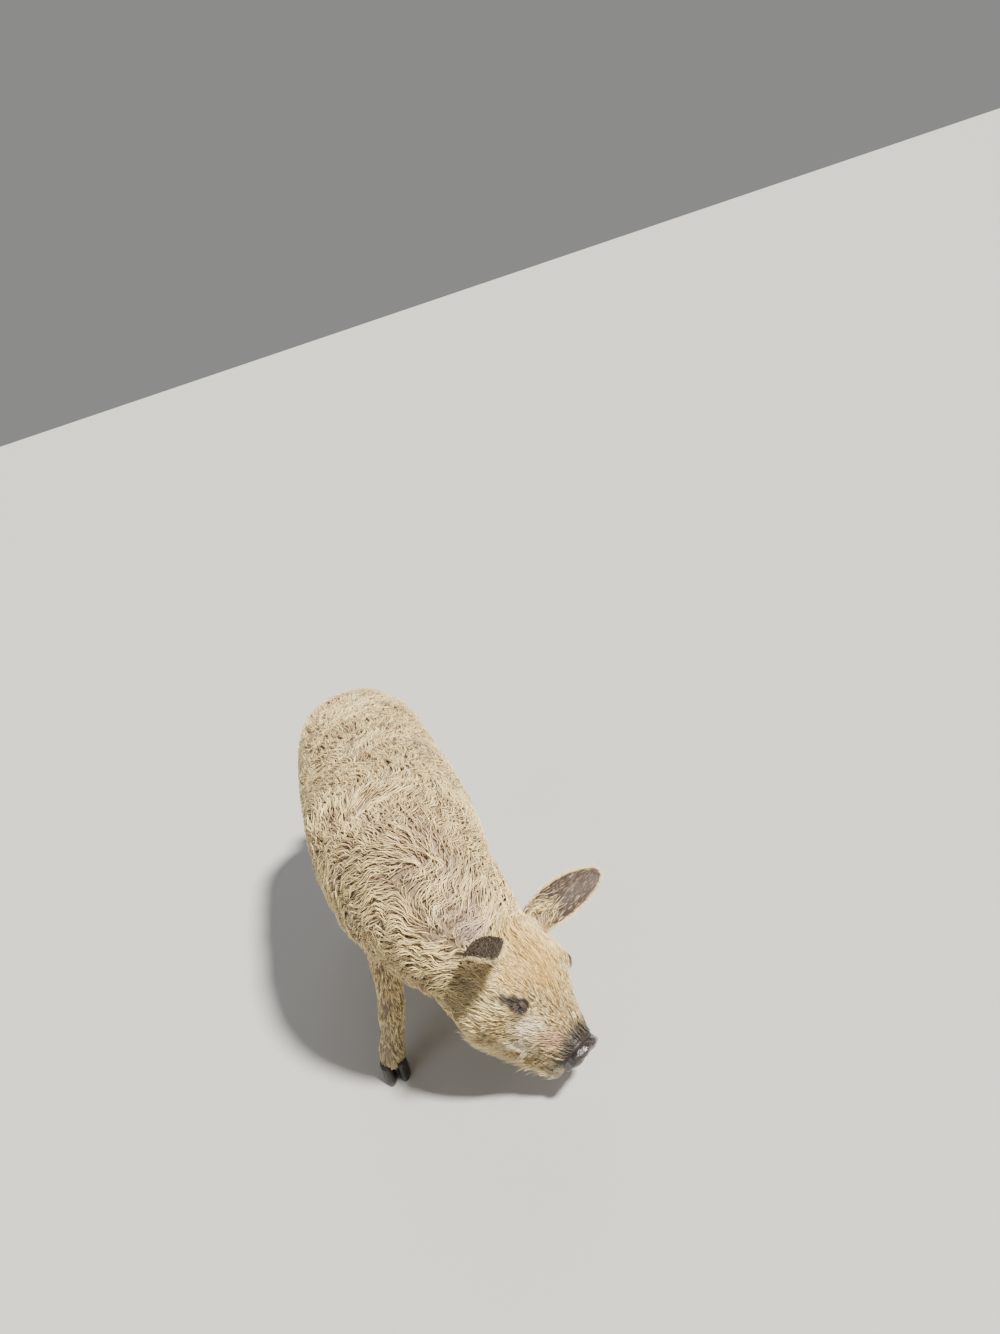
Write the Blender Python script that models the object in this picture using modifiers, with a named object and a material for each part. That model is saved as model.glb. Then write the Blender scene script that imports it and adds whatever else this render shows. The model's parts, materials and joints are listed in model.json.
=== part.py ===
"""A young mangalica pig, life size, standing with its neck lowered and its nose just over the floor.

The pig faces -Y, its left side is +X and the floor is at Z = 0. Trunk, head and legs are lofts of oval
sections along a spine, fused into one body. The curly coat grows on it as rounded, tapered clumps that lie
along the body and bend to either side. Thin cuts part the body into head, neck, torso and legs. Eyes, ears,
nose disc, claws, dewclaws and tail are pieces of their own, each set against what it grows from.
"""

import math
import random

import bmesh
import bpy
import numpy as np
from mathutils import Matrix, Vector
from mathutils.bvhtree import BVHTree

# Gap that touching pieces keep.
GAP = 0.0003

# The point of the floor under the middle of the finished pig, which becomes the origin.
MIDDLE = Vector((0.070, 0.207, 0.0))

# Trunk and neck, from the tail end forwards: x, y, z of the centre, half width, rise above it, drop below it.
TRUNK = [
    (-0.022, 0.620, 0.350, 0.010, 0.012, 0.014),
    (-0.022, 0.614, 0.348, 0.040, 0.044, 0.052),
    (-0.021, 0.598, 0.341, 0.070, 0.068, 0.084),
    (-0.018, 0.565, 0.330, 0.099, 0.092, 0.112),
    (-0.014, 0.510, 0.321, 0.118, 0.114, 0.130),
    (-0.008, 0.430, 0.314, 0.128, 0.130, 0.133),
    (-0.005, 0.330, 0.308, 0.134, 0.139, 0.138),
    (0.001, 0.220, 0.305, 0.139, 0.140, 0.141),
    (0.006, 0.110, 0.303, 0.139, 0.137, 0.138),
    (0.013, 0.020, 0.300, 0.132, 0.132, 0.132),
    (0.022, -0.036, 0.290, 0.122, 0.125, 0.127),
    (0.037, -0.078, 0.272, 0.112, 0.114, 0.119),
    (0.052, -0.106, 0.249, 0.103, 0.103, 0.111),
    (0.066, -0.126, 0.225, 0.092, 0.090, 0.100),
    (0.077, -0.140, 0.205, 0.078, 0.076, 0.086),
]

# Head: where its axis starts behind the poll, how it is turned to the pig's left, tipped down and rolled.
HEAD_BASE = Vector((0.073, -0.120, 0.211))
HEAD_TURN = math.radians(35.0)
HEAD_DIP = math.radians(45.0)
HEAD_ROLL = math.radians(-19.0)

# Head sections along its axis: distance, half width, rise, drop.
HEAD = [
    (0.000, 0.088, 0.083, 0.098),
    (0.030, 0.092, 0.088, 0.104),
    (0.060, 0.092, 0.084, 0.102),
    (0.090, 0.084, 0.073, 0.090),
    (0.120, 0.066, 0.058, 0.070),
    (0.148, 0.048, 0.045, 0.046),
    (0.172, 0.038, 0.037, 0.034),
    (0.194, 0.033, 0.032, 0.029),
]
# Lower jaw, hung under the muzzle: distance, half width, rise, drop, and how far it hangs below the axis.
JAW = [
    (0.060, 0.048, 0.030, 0.030, 0.076),
    (0.095, 0.044, 0.026, 0.030, 0.069),
    (0.130, 0.036, 0.022, 0.026, 0.059),
    (0.162, 0.027, 0.018, 0.020, 0.049),
    (0.186, 0.021, 0.014, 0.016, 0.046),
    (0.197, 0.014, 0.009, 0.011, 0.047),
    (0.202, 0.005, 0.003, 0.004, 0.047),
]
# Rounded swellings of brow and cheek: distance along the head, offset to each side, height, radius.
SWELLINGS = [(0.084, 0.043, 0.038, 0.0305), (0.058, 0.048, -0.029, 0.041)]

# Eyes: distance along the head, offset to each side, height over the axis, radius of the ball.
EYE_PLACE = (0.097, 0.0625, 0.0420)
EYE_RADIUS = 0.0105
LID_DEPTH = 0.0030
EYE_SLIT = (0.0098, 0.0052)
# The way an eye looks, by the head's forward, side and top axes.
EYE_LOOK = (0.30, 0.85, 0.43)

# Mouth: the line of the groove on each side, as distance along the head and height over its axis, half the
# thickness of its cutter, how deep it is cut and how far the cutter stands out.
MOUTH = [
    (0.196, -0.0350),
    (0.183, -0.0345),
    (0.165, -0.0345),
    (0.145, -0.0355),
    (0.125, -0.0320),
    (0.110, -0.0250),
]
MOUTH_HALF = 0.0032
MOUTH_DEPTH = 0.0045
MOUTH_PROUD = 0.010
# Lips: how far their rolls lie over and under the line, their radius and how deep they are sunk.
LIP_OFFSET = 0.0068
LIP_RADIUS = 0.0060
LIP_SUNK = 0.0032

# Nose disc: how far along the head it starts, its sections (distance, half width, half height) and nostrils.
SNOUT_START = 0.192
SNOUT = [
    (0.0000, 0.0300, 0.0270),
    (0.0040, 0.0315, 0.0285),
    (0.0085, 0.0325, 0.0295),
    (0.0120, 0.0305, 0.0275),
    (0.0135, 0.0260, 0.0230),
]
SNOUT_LIFT = 0.003
NOSTRIL = (0.0060, 0.0085, 0.0100)
NOSTRIL_PLACE = (0.0125, 0.001)

# Ears: root, bend and tip of the middle line by the head's forward, side and top axes, and which way the cup
# faces. The left one stands out to the side, the right one falls forward and its tip is folded down.
EARS = {
    "ear_left": (
        (0.026, 0.056, 0.052), (0.028, 0.100, 0.090), (0.044, 0.160, 0.130), (0.10, -0.61, 0.77),
    ),
    "ear_right": (
        (0.010, -0.060, 0.056), (-0.006, -0.102, 0.114), (0.035, -0.115, 0.122), (0.86, -0.07, -0.49),
    ),
}
# Ear sections: how far along the middle line, half width, how deep the cup is.
EAR_ROWS = [
    (0.00, 0.0200, 0.0170),
    (0.16, 0.0235, 0.0165),
    (0.34, 0.0270, 0.0140),
    (0.52, 0.0270, 0.0105),
    (0.70, 0.0225, 0.0070),
    (0.86, 0.0145, 0.0038),
    (0.96, 0.0070, 0.0014),
    (1.00, 0.0025, 0.0004),
]
EAR_THICK = 0.0040
EAR_ACROSS = 7

# Legs from the top down: offset in x and y from the foot, height, half width across, half length along.
FORELEG = [
    (-0.058, 0.066, 0.300, 0.036, 0.060),
    (-0.056, 0.064, 0.240, 0.037, 0.054),
    (-0.050, 0.052, 0.196, 0.032, 0.042),
    (-0.042, 0.036, 0.154, 0.0255, 0.031),
    (-0.034, 0.024, 0.122, 0.0225, 0.0250),
    (-0.028, 0.020, 0.102, 0.0230, 0.0240),
    (-0.019, 0.016, 0.074, 0.0190, 0.0195),
    (-0.009, 0.013, 0.050, 0.0205, 0.0215),
    (0.000, 0.004, 0.020, 0.0190, 0.0205),
]
HINDLEG = [
    (-0.042, -0.034, 0.320, 0.044, 0.066),
    (-0.024, -0.028, 0.250, 0.047, 0.074),
    (-0.010, -0.018, 0.200, 0.038, 0.060),
    (-0.003, 0.006, 0.158, 0.0270, 0.038),
    (0.000, 0.030, 0.124, 0.0200, 0.0290),
    (0.000, 0.028, 0.088, 0.0175, 0.0205),
    (0.000, 0.016, 0.052, 0.0200, 0.0210),
    (0.000, 0.004, 0.020, 0.0190, 0.0205),
]
# Each foot on the floor: the leg's sections, the side it is on, x and y of the foot.
FEET = {
    "foreleg_right": (FORELEG, -1, 0.116, -0.040),
    "foreleg_left": (FORELEG, 1, 0.116, 0.006),
    "hindleg_right": (HINDLEG, -1, 0.094, 0.500),
    "hindleg_left": (HINDLEG, 1, 0.094, 0.524),
}
# Where a leg parts from the torso: y in front and behind, by the foot, the height at the leg's middle and how
# much higher the cut is for each metre outwards, and how near to the pig's middle it reaches.
LEG_CUTS = {
    "foreleg": (-0.052, 0.122, 0.196, 0.50, 0.030),
    "hindleg": (-0.105, 0.098, 0.214, 0.60, 0.034),
}

# Claws: height of their top, half width, front and back of the sole and of the top, and half the split.
CLAW_HEIGHT = 0.026
CLAW_WIDTH = 0.0098
CLAW_SOLE = (-0.026, 0.017)
CLAW_TOP = (-0.0165, 0.0190)
CLAW_SPLIT = 0.0012
# Dewclaws: offset to each side, how deep the root is sunk, its height, length, radius.
DEWCLAW = (0.0105, 0.0030, 0.056, 0.027, 0.0068)

# Tail: root on the rump, centre and radius of its curl, the drift across for each turn, its turns and radii.
TAIL_ROOT = Vector((-0.022, 0.596, 0.372))
TAIL_CURL = Vector((-0.026, 0.652, 0.350))
TAIL_CURL_RADIUS = 0.0205
TAIL_DRIFT = 0.017
TAIL_TURNS = 1.30
TAIL_RADII = (0.0085, 0.0045)
TASSEL = [(0.004, 0.0050), (0.016, 0.0095), (0.034, 0.0100), (0.052, 0.0065), (0.066, 0.0012)]

# Cuts across the neck: a point on each and the way towards the nose.
NECK_CUT = (Vector((0.026, -0.064, 0.290)), Vector((0.28, -0.90, -0.34)).normalized())
HEAD_CUT_AHEAD = 0.004

# Coat: all sections reach to its tips, and the dense core under the clumps lies this much deeper. It thins
# out between two distances along the head, and between two heights down the legs.
CORE_DROP = 0.007
COAT_ON_HEAD = (0.085, 0.050)
COAT_ON_LEGS = (0.150, 0.200)
# Clumps on the trunk and on the jowls: spacing of their roots and how far they rise over the core.
CLUMP_SPACING = (0.065, 0.046)
CLUMP_RISE = (0.0090, 0.0058)
# Each clump's length and width as shares of the spacing, how deep its edges are sunk, how broad its rounded
# top is, and its sections: place along it, share of the width and share of the rise, up to its tip.
CLUMP_LENGTH = (1.35, 1.75)
CLUMP_WIDTH = (0.92, 1.14)
CLUMP_SUNK = 0.0034
CLUMP_TOP = 0.55
CLUMP_SECTIONS = [(0.0, 0.50, 0.05), (0.30, 1.00, 0.90), (0.68, 0.88, 1.05), (1.0, 0.0, 0.40)]
# How far a clump turns off the lie of the coat at its root, and how far it curls on its way, in degrees.
CLUMP_SWERVE = 38.0
CLUMP_CURL = (35.0, 75.0)
# Bare rounds that clumps keep off: about each ear's root and about points of the tail, for their roots and,
# as a share of that, for all their length.
EAR_CLEARANCE = 0.044
TAIL_CLEARANCE = 0.036
PASSING = 0.72
CLUMP_TRIES = 9000
SEED = 8

SHARP = 50
RING_SIDES = 32
VOXEL = 0.0032
SMOOTHING = 7
# Pieces are cut a little large, thinned to so many triangles and then cut to their exact place.
ROUGH = 0.004
TRUNK_TRIANGLES = 1100
HEAD_TRIANGLES = 1900
LEG_TRIANGLES = {"foreleg": 420, "hindleg": 540}
REACH = 1.5

COATS = {
    "coat": ((0.72, 0.63, 0.47), 0.9),
    "snout": ((0.16, 0.12, 0.12), 0.35),
    "ear": ((0.38, 0.30, 0.27), 0.8),
    "eye": ((0.03, 0.02, 0.02), 0.08),
    "claw": ((0.05, 0.045, 0.04), 0.45),
}


def smooth_rows(rows, count):
    """A Catmull-Rom curve through rows of numbers, read at evenly spaced places."""
    rows = np.array(rows, float)
    padded = np.vstack([2 * rows[0] - rows[1], rows, 2 * rows[-1] - rows[-2]])
    place = np.linspace(0, len(rows) - 1, count)
    first = np.minimum(place.astype(int), len(rows) - 2)
    t = (place - first)[:, None]
    a, b, c, d = (padded[first + step] for step in range(4))
    square = 2 * a - 5 * b + 4 * c - d
    return 0.5 * (2 * b + (c - a) * t + square * t**2 + (3 * b - a - 3 * c + d) * t**3)


def oval(centre, side, top, half_width, rise, drop, square=2.2, sides=RING_SIDES):
    """One closed ring of points, fuller than an ellipse at the corners by its squareness."""
    angle = np.linspace(0, 2 * math.pi, sides, endpoint=False)
    across = np.sign(np.sin(angle)) * np.abs(np.sin(angle)) ** (2 / square)
    up = np.sign(np.cos(angle)) * np.abs(np.cos(angle)) ** (2 / square)
    height = np.where(up > 0, rise, drop) * up
    return np.array(centre) + np.outer(across * half_width, side) + np.outer(height, top)


def loft(name, rings):
    """A closed mesh object that runs through the rings."""
    count = len(rings[0])
    faces = [
        (r * count + i, r * count + (i + 1) % count, (r + 1) * count + (i + 1) % count, (r + 1) * count + i)
        for r in range(len(rings) - 1)
        for i in range(count)
    ]
    faces.append(tuple(range(count)))
    faces.append(tuple((len(rings) - 1) * count + i for i in range(count)))
    mesh = bpy.data.meshes.new(name)
    mesh.from_pydata(np.vstack(rings).tolist(), [], faces)
    tidy(mesh)
    return add(name, mesh)


def add(name, mesh):
    """Link a mesh as a new object."""
    made = bpy.data.objects.new(name, mesh)
    bpy.context.scene.collection.objects.link(made)
    return made


def tidy(mesh):
    """Drop doubled points and faces without area, and turn all faces outwards."""
    work = bmesh.new()
    work.from_mesh(mesh)
    bmesh.ops.remove_doubles(work, verts=work.verts, dist=1e-6)
    bmesh.ops.dissolve_degenerate(work, edges=work.edges, dist=1e-6)
    bmesh.ops.recalc_face_normals(work, faces=work.faces)
    work.to_mesh(mesh)
    work.free()


def ball(name, centre, radius, segments=16, rings=10):
    """A round solid at its place."""
    bpy.ops.mesh.primitive_uv_sphere_add(segments=segments, ring_count=rings, radius=radius, location=centre)
    made = bpy.context.object
    made.name = name
    bake(made)
    return made


def bake(piece):
    """Apply an object's place, turn and scale to its mesh."""
    piece.data.transform(piece.matrix_basis)
    piece.matrix_basis = Matrix.Identity(4)


def modify(piece, kind, **settings):
    """Add one modifier with its settings and apply it."""
    modifier = piece.modifiers.new(kind.title(), kind)
    for setting, value in settings.items():
        setattr(modifier, setting, value)
    bpy.context.view_layer.objects.active = piece
    bpy.ops.object.modifier_apply(modifier=modifier.name)


def combine(piece, others, operation, solver="EXACT"):
    """Join or cut a piece with others by one Boolean on their collection, and remove them."""
    group = bpy.data.collections.new("operands")
    for other in others:
        group.objects.link(other)
    modify(piece, "BOOLEAN", operation=operation, operand_type="COLLECTION", collection=group, solver=solver)
    for other in others:
        bpy.data.objects.remove(other, do_unlink=True)
    bpy.data.collections.remove(group)
    keep_largest(piece)


def cut(piece, cutter, operation="DIFFERENCE", solver="EXACT"):
    """Cut a piece with one cutter, which is removed afterwards."""
    modify(piece, "BOOLEAN", operation=operation, object=cutter, solver=solver)
    bpy.data.objects.remove(cutter, do_unlink=True)
    keep_largest(piece)


def keep_largest(piece):
    """Keep only the largest closed surface of a piece, as triangles."""
    work = bmesh.new()
    work.from_mesh(piece.data)
    bmesh.ops.triangulate(work, faces=work.faces)
    shells = []
    waiting = set(work.faces)
    while waiting:
        shell = {waiting.pop()}
        edge_of = list(shell)
        while edge_of:
            face = edge_of.pop()
            near = {other for edge in face.edges for other in edge.link_faces} & waiting
            waiting -= near
            shell |= near
            edge_of.extend(near)
        shells.append(shell)
    shells.sort(key=lambda shell: sum(face.calc_area() for face in shell))
    for shell in shells[:-1]:
        bmesh.ops.delete(work, geom=list(shell), context="FACES")
    loose = [vert for vert in work.verts if not vert.link_faces]
    bmesh.ops.delete(work, geom=loose, context="VERTS")
    work.to_mesh(piece.data)
    bmesh.ops.remove_doubles(work, verts=work.verts, dist=2e-6)
    bmesh.ops.dissolve_degenerate(work, edges=work.edges, dist=2e-6)
    bmesh.ops.triangulate(work, faces=work.faces)
    if all(len(edge.link_faces) == 2 for edge in work.edges):
        work.to_mesh(piece.data)
    work.free()


def copy_of(piece, name):
    """A second object with its own copy of a mesh."""
    return add(name, piece.data.copy())


def grown(piece, by):
    """A copy of a piece with its surface moved outwards."""
    made = copy_of(piece, piece.name + "_grown")
    work = bmesh.new()
    work.from_mesh(made.data)
    work.normal_update()
    for vert, normal in [(vert, vert.normal.copy()) for vert in work.verts]:
        vert.co += normal * by * vert.calc_shell_factor()
    work.to_mesh(made.data)
    work.free()
    return made


def slice_off(piece, point, normal):
    """Remove all of a piece on the side that the normal points to, down to a flat face."""
    bpy.ops.mesh.primitive_cube_add(size=REACH, location=(0, 0, REACH / 2))
    block = bpy.context.object
    bake(block)
    block.data.transform(Matrix.Translation(point) @ normal.to_track_quat("Z", "X").to_matrix().to_4x4())
    cut(piece, block, "DIFFERENCE", "MANIFOLD")


def join(name, pieces):
    """One mesh object of several, whose shells still overlap."""
    work = bmesh.new()
    for piece in pieces:
        work.from_mesh(piece.data)
    mesh = bpy.data.meshes.new(name)
    work.to_mesh(mesh)
    work.free()
    for piece in pieces:
        bpy.data.objects.remove(piece, do_unlink=True)
    return add(name, mesh)


def head_axes():
    """Forward along the nose, to the pig's left and up over the forehead."""
    forward = Vector((math.sin(HEAD_TURN) * math.cos(HEAD_DIP), -math.cos(HEAD_TURN) * math.cos(HEAD_DIP),
                      -math.sin(HEAD_DIP)))
    level = Vector((math.cos(HEAD_TURN), math.sin(HEAD_TURN), 0))
    side = level * math.cos(HEAD_ROLL) + forward.cross(level) * math.sin(HEAD_ROLL)
    return forward, side, forward.cross(side)


def on_head(ahead, aside, over):
    """A point by its distance along the head, to the pig's left and over the head's axis."""
    forward, side, top = head_axes()
    return HEAD_BASE + forward * ahead + side * aside + top * over


def along_head(ahead, aside, over):
    """A direction by the head's own axes."""
    return on_head(ahead, aside, over) - HEAD_BASE


def core_share(value, bare, full):
    """How much of the coat's core drop applies, from none at one value to all at another."""
    return min(max((value - bare) / (full - bare), 0.0), 1.0)


def trunk_loft():
    """Trunk and neck as one loft along the bent spine."""
    rows = smooth_rows(TRUNK, 60)
    rows[:, 3:] = np.maximum(rows[:, 3:] - CORE_DROP, rows[:, 3:] * 0.5)
    rings = []
    for row, forward in zip(rows, np.gradient(rows[:, :3], axis=0)):
        forward = forward / np.linalg.norm(forward)
        side = np.cross((0, 0, 1), forward)
        side /= np.linalg.norm(side)
        rings.append(oval(row[:3], side, np.cross(forward, side), *row[3:]))
    return loft("trunk", rings)


def beside_head(surface, which, ahead, over):
    """The point of a surface that lies beside the head's axis, or the axis itself where there is none."""
    _, side, _ = head_axes()
    hit = surface.ray_cast(on_head(ahead, which * 0.15, over), side * -which, 0.15)[0]
    return hit or on_head(ahead, 0, over)


def surface_of(piece):
    """A piece's faces, ready to be met by rays."""
    return BVHTree.FromObject(piece, bpy.context.evaluated_depsgraph_get())


def lip(which, place, carrier):
    """The soft roll of one lip along one side of the mouth."""
    _, side, _ = head_axes()
    surface = surface_of(carrier)
    points = [
        beside_head(surface, which, ahead, over + place * LIP_OFFSET) - side * which * LIP_SUNK
        for ahead, over in smooth_rows(MOUTH[1:], 12)
    ]
    return loft("lip", tail_rings(points, [LIP_RADIUS] * len(points), 12))


def head_lofts():
    """Skull and muzzle, lower jaw, brows, cheeks and the rolls of the lips."""
    _, side, top = head_axes()
    rings = []
    for row in smooth_rows(HEAD, 40):
        row[1:] -= CORE_DROP * core_share(row[0], *COAT_ON_HEAD)
        rings.append(oval(on_head(row[0], 0, 0), side, top, *row[1:]))
    skull = loft("skull", rings)
    rings = [oval(on_head(row[0], 0, -row[4]), side, top, *row[1:4]) for row in smooth_rows(JAW, 24)]
    jaw = loft("jaw", rings)
    pieces = [skull, jaw]
    for which in (-1, 1):
        pieces.append(lip(which, 1, skull))
        pieces.append(lip(which, -1, jaw))
        for ahead, aside, over, radius in SWELLINGS:
            pieces.append(ball("swelling", on_head(ahead, which * aside, over), radius))
    return pieces


def leg_loft(name):
    """One leg from inside the trunk down to the claws."""
    rows, which, foot_x, foot_y = FEET[name]
    rings = []
    for out, back, height, half_width, half_length in smooth_rows(rows, 36):
        centre = (which * (foot_x + out), foot_y + back, height)
        drop = CORE_DROP * core_share(height, *COAT_ON_LEGS)
        half_length -= drop
        rings.append(oval(centre, (1, 0, 0), (0, 1, 0), half_width - drop, half_length, half_length, 2.0))
    return loft(name + "_loft", rings)


def whole_body():
    """All flesh as one smooth closed surface."""
    pieces = [trunk_loft()] + head_lofts() + [leg_loft(name) for name in FEET]
    body = join("body", pieces)
    modify(body, "REMESH", mode="VOXEL", voxel_size=VOXEL)
    modify(body, "SMOOTH", factor=0.5, iterations=SMOOTHING)
    return body


def in_the_way(point, share):
    """Whether a point is too near to an ear's root or to the tail, at a share of the clearance."""
    bare = [(on_head(*EARS[name][0]), EAR_CLEARANCE) for name in EARS]
    bare += [(tail_point(step), TAIL_CLEARANCE) for step in (0.0, 0.1, 0.2)]
    return any((point - place).length < clearance * share for place, clearance in bare)


def clump_sizes(point):
    """Spacing and rise of the clumps at a point of the skin, or nothing where only short hair grows."""
    ahead = (point - HEAD_BASE).dot(along_head(1, 0, 0))
    if ahead > sum(COAT_ON_HEAD) / 2 or point.z < sum(COAT_ON_LEGS) / 2 or in_the_way(point, 1.0):
        return None
    near = core_share(ahead, -0.10, 0.04)
    return tuple(low + (high - low) * near for low, high in (CLUMP_SPACING, CLUMP_RISE))


def lie_of_coat(point):
    """The way the coat lies: back from the head, down over the flanks and down the legs."""
    down = Vector((0, 0, -1))
    flank = Vector((0, 1, -0.45))
    if (point - HEAD_BASE).dot(along_head(1, 0, 0)) > -0.02:
        flank = along_head(-1, 0, -0.55)
    return flank.lerp(down, core_share(point.z, 0.26, 0.18))


def clump(surface, root, spacing, rise, chance):
    """One rounded clump: it tapers from its widest part to its tip and curls to a side as it lies."""
    point, normal, _, _ = surface.find_nearest(root)
    length = spacing * chance.uniform(*CLUMP_LENGTH)
    width = spacing * chance.uniform(*CLUMP_WIDTH)
    curl = math.radians(chance.uniform(*CLUMP_CURL)) * chance.choice((-1, 1))
    swerve = math.radians(chance.uniform(-CLUMP_SWERVE, CLUMP_SWERVE)) - curl / 2
    heading = lie_of_coat(root)
    heading.rotate(Matrix.Rotation(swerve, 3, normal))
    rings = []
    before = 0.0
    for place, wide, high in CLUMP_SECTIONS:
        heading = (heading - normal * heading.dot(normal)).normalized()
        point, normal, _, _ = surface.find_nearest(point + heading * length * (place - before))
        heading.rotate(Matrix.Rotation(curl * (place - before), 3, normal))
        before = place
        side = normal.cross(heading).normalized()
        if place == 1.0:
            rings.append([point + normal * rise * high])
            continue
        ring = []
        for which, share, lift in ((-1, 1.0, -CLUMP_SUNK), (-1, CLUMP_TOP, rise * high),
                                   (1, CLUMP_TOP, rise * high), (1, 1.0, -CLUMP_SUNK)):
            under, upwards, _, _ = surface.find_nearest(point + side * which * share * width * wide / 2)
            ring.append(under + upwards * lift)
        rings.append(ring)
    return taper("clump", rings)


def taper(name, rings):
    """A closed mesh object through rings of points that ends in a single point."""
    count = len(rings[0])
    last = (len(rings) - 2) * count
    tip = last + count
    faces = [tuple(range(count))]
    for ring in range(len(rings) - 2):
        for i in range(count):
            a, b = ring * count + i, ring * count + (i + 1) % count
            faces += [(a, b, b + count), (a, b + count, a + count)]
    faces += [(last + i, last + (i + 1) % count, tip) for i in range(count)]
    mesh = bpy.data.meshes.new(name)
    mesh.from_pydata([tuple(point) for ring in rings for point in ring], [], faces)
    tidy(mesh)
    return add(name, mesh)


def coat_clumps(body):
    """Clumps spread evenly wherever the long coat grows, each as its own closed object."""
    chance = random.Random(SEED)
    surface = surface_of(body)
    corners = [vert.co.copy() for vert in body.data.vertices]
    roots = []
    clumps = []
    for _ in range(CLUMP_TRIES):
        root = chance.choice(corners)
        sizes = clump_sizes(root)
        if sizes and all((root - other).length > (sizes[0] + spacing) / 2 for other, spacing in roots):
            made = clump(surface, root, *sizes, chance)
            if any(in_the_way(vert.co, PASSING) for vert in made.data.vertices):
                bpy.data.objects.remove(made, do_unlink=True)
                continue
            roots.append((root, sizes[0]))
            clumps.append(made)
    return clumps


def thinned(piece, triangles):
    """Bring a piece down to about a number of triangles."""
    modify(piece, "TRIANGULATE")
    modify(piece, "DECIMATE", ratio=triangles / len(piece.data.polygons))


def head_cut():
    """A point on the cut behind the head and the way towards the nose."""
    forward = along_head(1, 0, 0)
    return on_head(HEAD_CUT_AHEAD, 0, 0), (forward + Vector((0, 0, 0.25))).normalized()


def leg_region(name, margin):
    """The block that holds one leg: a box whose top slopes up outwards."""
    _, which, foot_x, foot_y = FEET[name]
    front, back, height, slope, inner = LEG_CUTS[name.split("_")[0]]
    near, far = inner - margin, 0.30
    bpy.ops.mesh.primitive_cube_add(size=1)
    block = bpy.context.object
    block.name = name + "_region"
    y_front, y_back = foot_y + front - margin, foot_y + back + margin
    for vert in block.data.vertices:
        out = far if vert.co.x * which > 0 else near
        vert.co.y = y_back if vert.co.y > 0 else y_front
        top = height + margin + slope * (out - foot_x)
        vert.co.z = top if vert.co.z > 0 else -0.05
        vert.co.x = which * out
    tidy(block.data)
    return block


def eye_frame(which):
    """Where one eye's centre is, with the way it looks, along its slit and across it."""
    ahead, aside, over = EYE_PLACE
    centre = on_head(ahead, which * aside, over)
    look = along_head(EYE_LOOK[0], which * EYE_LOOK[1], EYE_LOOK[2]).normalized()
    along = along_head(1, 0, -0.25)
    along = (along - look * along.dot(look)).normalized()
    return centre, look, along, look.cross(along)


def eye_slit(which):
    """An almond-shaped cutter that opens the lids in front of one eye."""
    centre, look, along, across = eye_frame(which)
    length, height = EYE_SLIT
    rings = []
    for reach, widen in ((0.002, 1.0), (0.030, 1.5)):
        ring = []
        for step in range(12):
            angle = 2 * math.pi * step / 12
            wide = math.sin(angle)
            ring.append(centre + look * reach + along * math.cos(angle) * length * widen
                        + across * wide * abs(wide) ** 0.3 * height * widen)
        rings.append(np.array([tuple(point) for point in ring]))
    return loft("slit", rings)


def mouth_cutter(which, head):
    """A thin band that cuts the line of the mouth on one side, along the head's own surface."""
    _, side, top = head_axes()
    surface = surface_of(head)
    rings = []
    for ahead, over in smooth_rows(MOUTH, 12):
        skin = beside_head(surface, which, ahead, over)
        rings.append(np.array([
            tuple(skin + side * which * out + top * up)
            for out, up in ((MOUTH_PROUD, MOUTH_HALF), (MOUTH_PROUD, -MOUTH_HALF), (-MOUTH_DEPTH, 0))
        ]))
    return loft("mouth", rings)


def muzzle_block():
    """The room in front of the muzzle for the nose disc, above the chin."""
    rings = [
        np.array([tuple(on_head(ahead, aside, over))
                  for aside, over in ((-0.06, -0.0300), (0.06, -0.0300), (0.06, 0.06), (-0.06, 0.06))])
        for ahead in (SNOUT_START - GAP, 0.26)
    ]
    return loft("muzzle", rings)


def make_head(body):
    """The head with lids round the eyes and the line of the mouth, cut a little behind its place."""
    head = copy_of(body, "head")
    point, forward = head_cut()
    slice_off(head, point - forward * 0.02, -forward)
    thinned(head, HEAD_TRIANGLES)
    lids = [ball("lid", eye_frame(which)[0], EYE_RADIUS + LID_DEPTH, 14, 9) for which in (-1, 1)]
    combine(head, lids, "UNION")
    pockets = [ball("pocket", eye_frame(which)[0], EYE_RADIUS + GAP * 1.6, 14, 9) for which in (-1, 1)]
    slits = [eye_slit(which) for which in (-1, 1)]
    mouths = [mouth_cutter(which, head) for which in (-1, 1)]
    for cutter in slits + pockets + mouths + [muzzle_block()]:
        cut(head, cutter)
    return head


def reaching(clumps, inside):
    """The clumps that have a corner inside some space."""
    return [each for each in clumps if any(inside(vert.co) for vert in each.data.vertices)]


def near_leg(name, place):
    """Whether a point lies in the block of one leg."""
    _, which, foot_x, foot_y = FEET[name]
    front, back, height, slope, inner = LEG_CUTS[name.split("_")[0]]
    out = place.x * which
    top = height + slope * (out - foot_x)
    return out > inner and foot_y + front < place.y < foot_y + back and place.z < top


def grow_coat(piece, clumps):
    """Fuse copies of the clumps with a piece of the body."""
    if clumps:
        combine(piece, [copy_of(each, "clump") for each in clumps], "UNION", "MANIFOLD")


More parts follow.
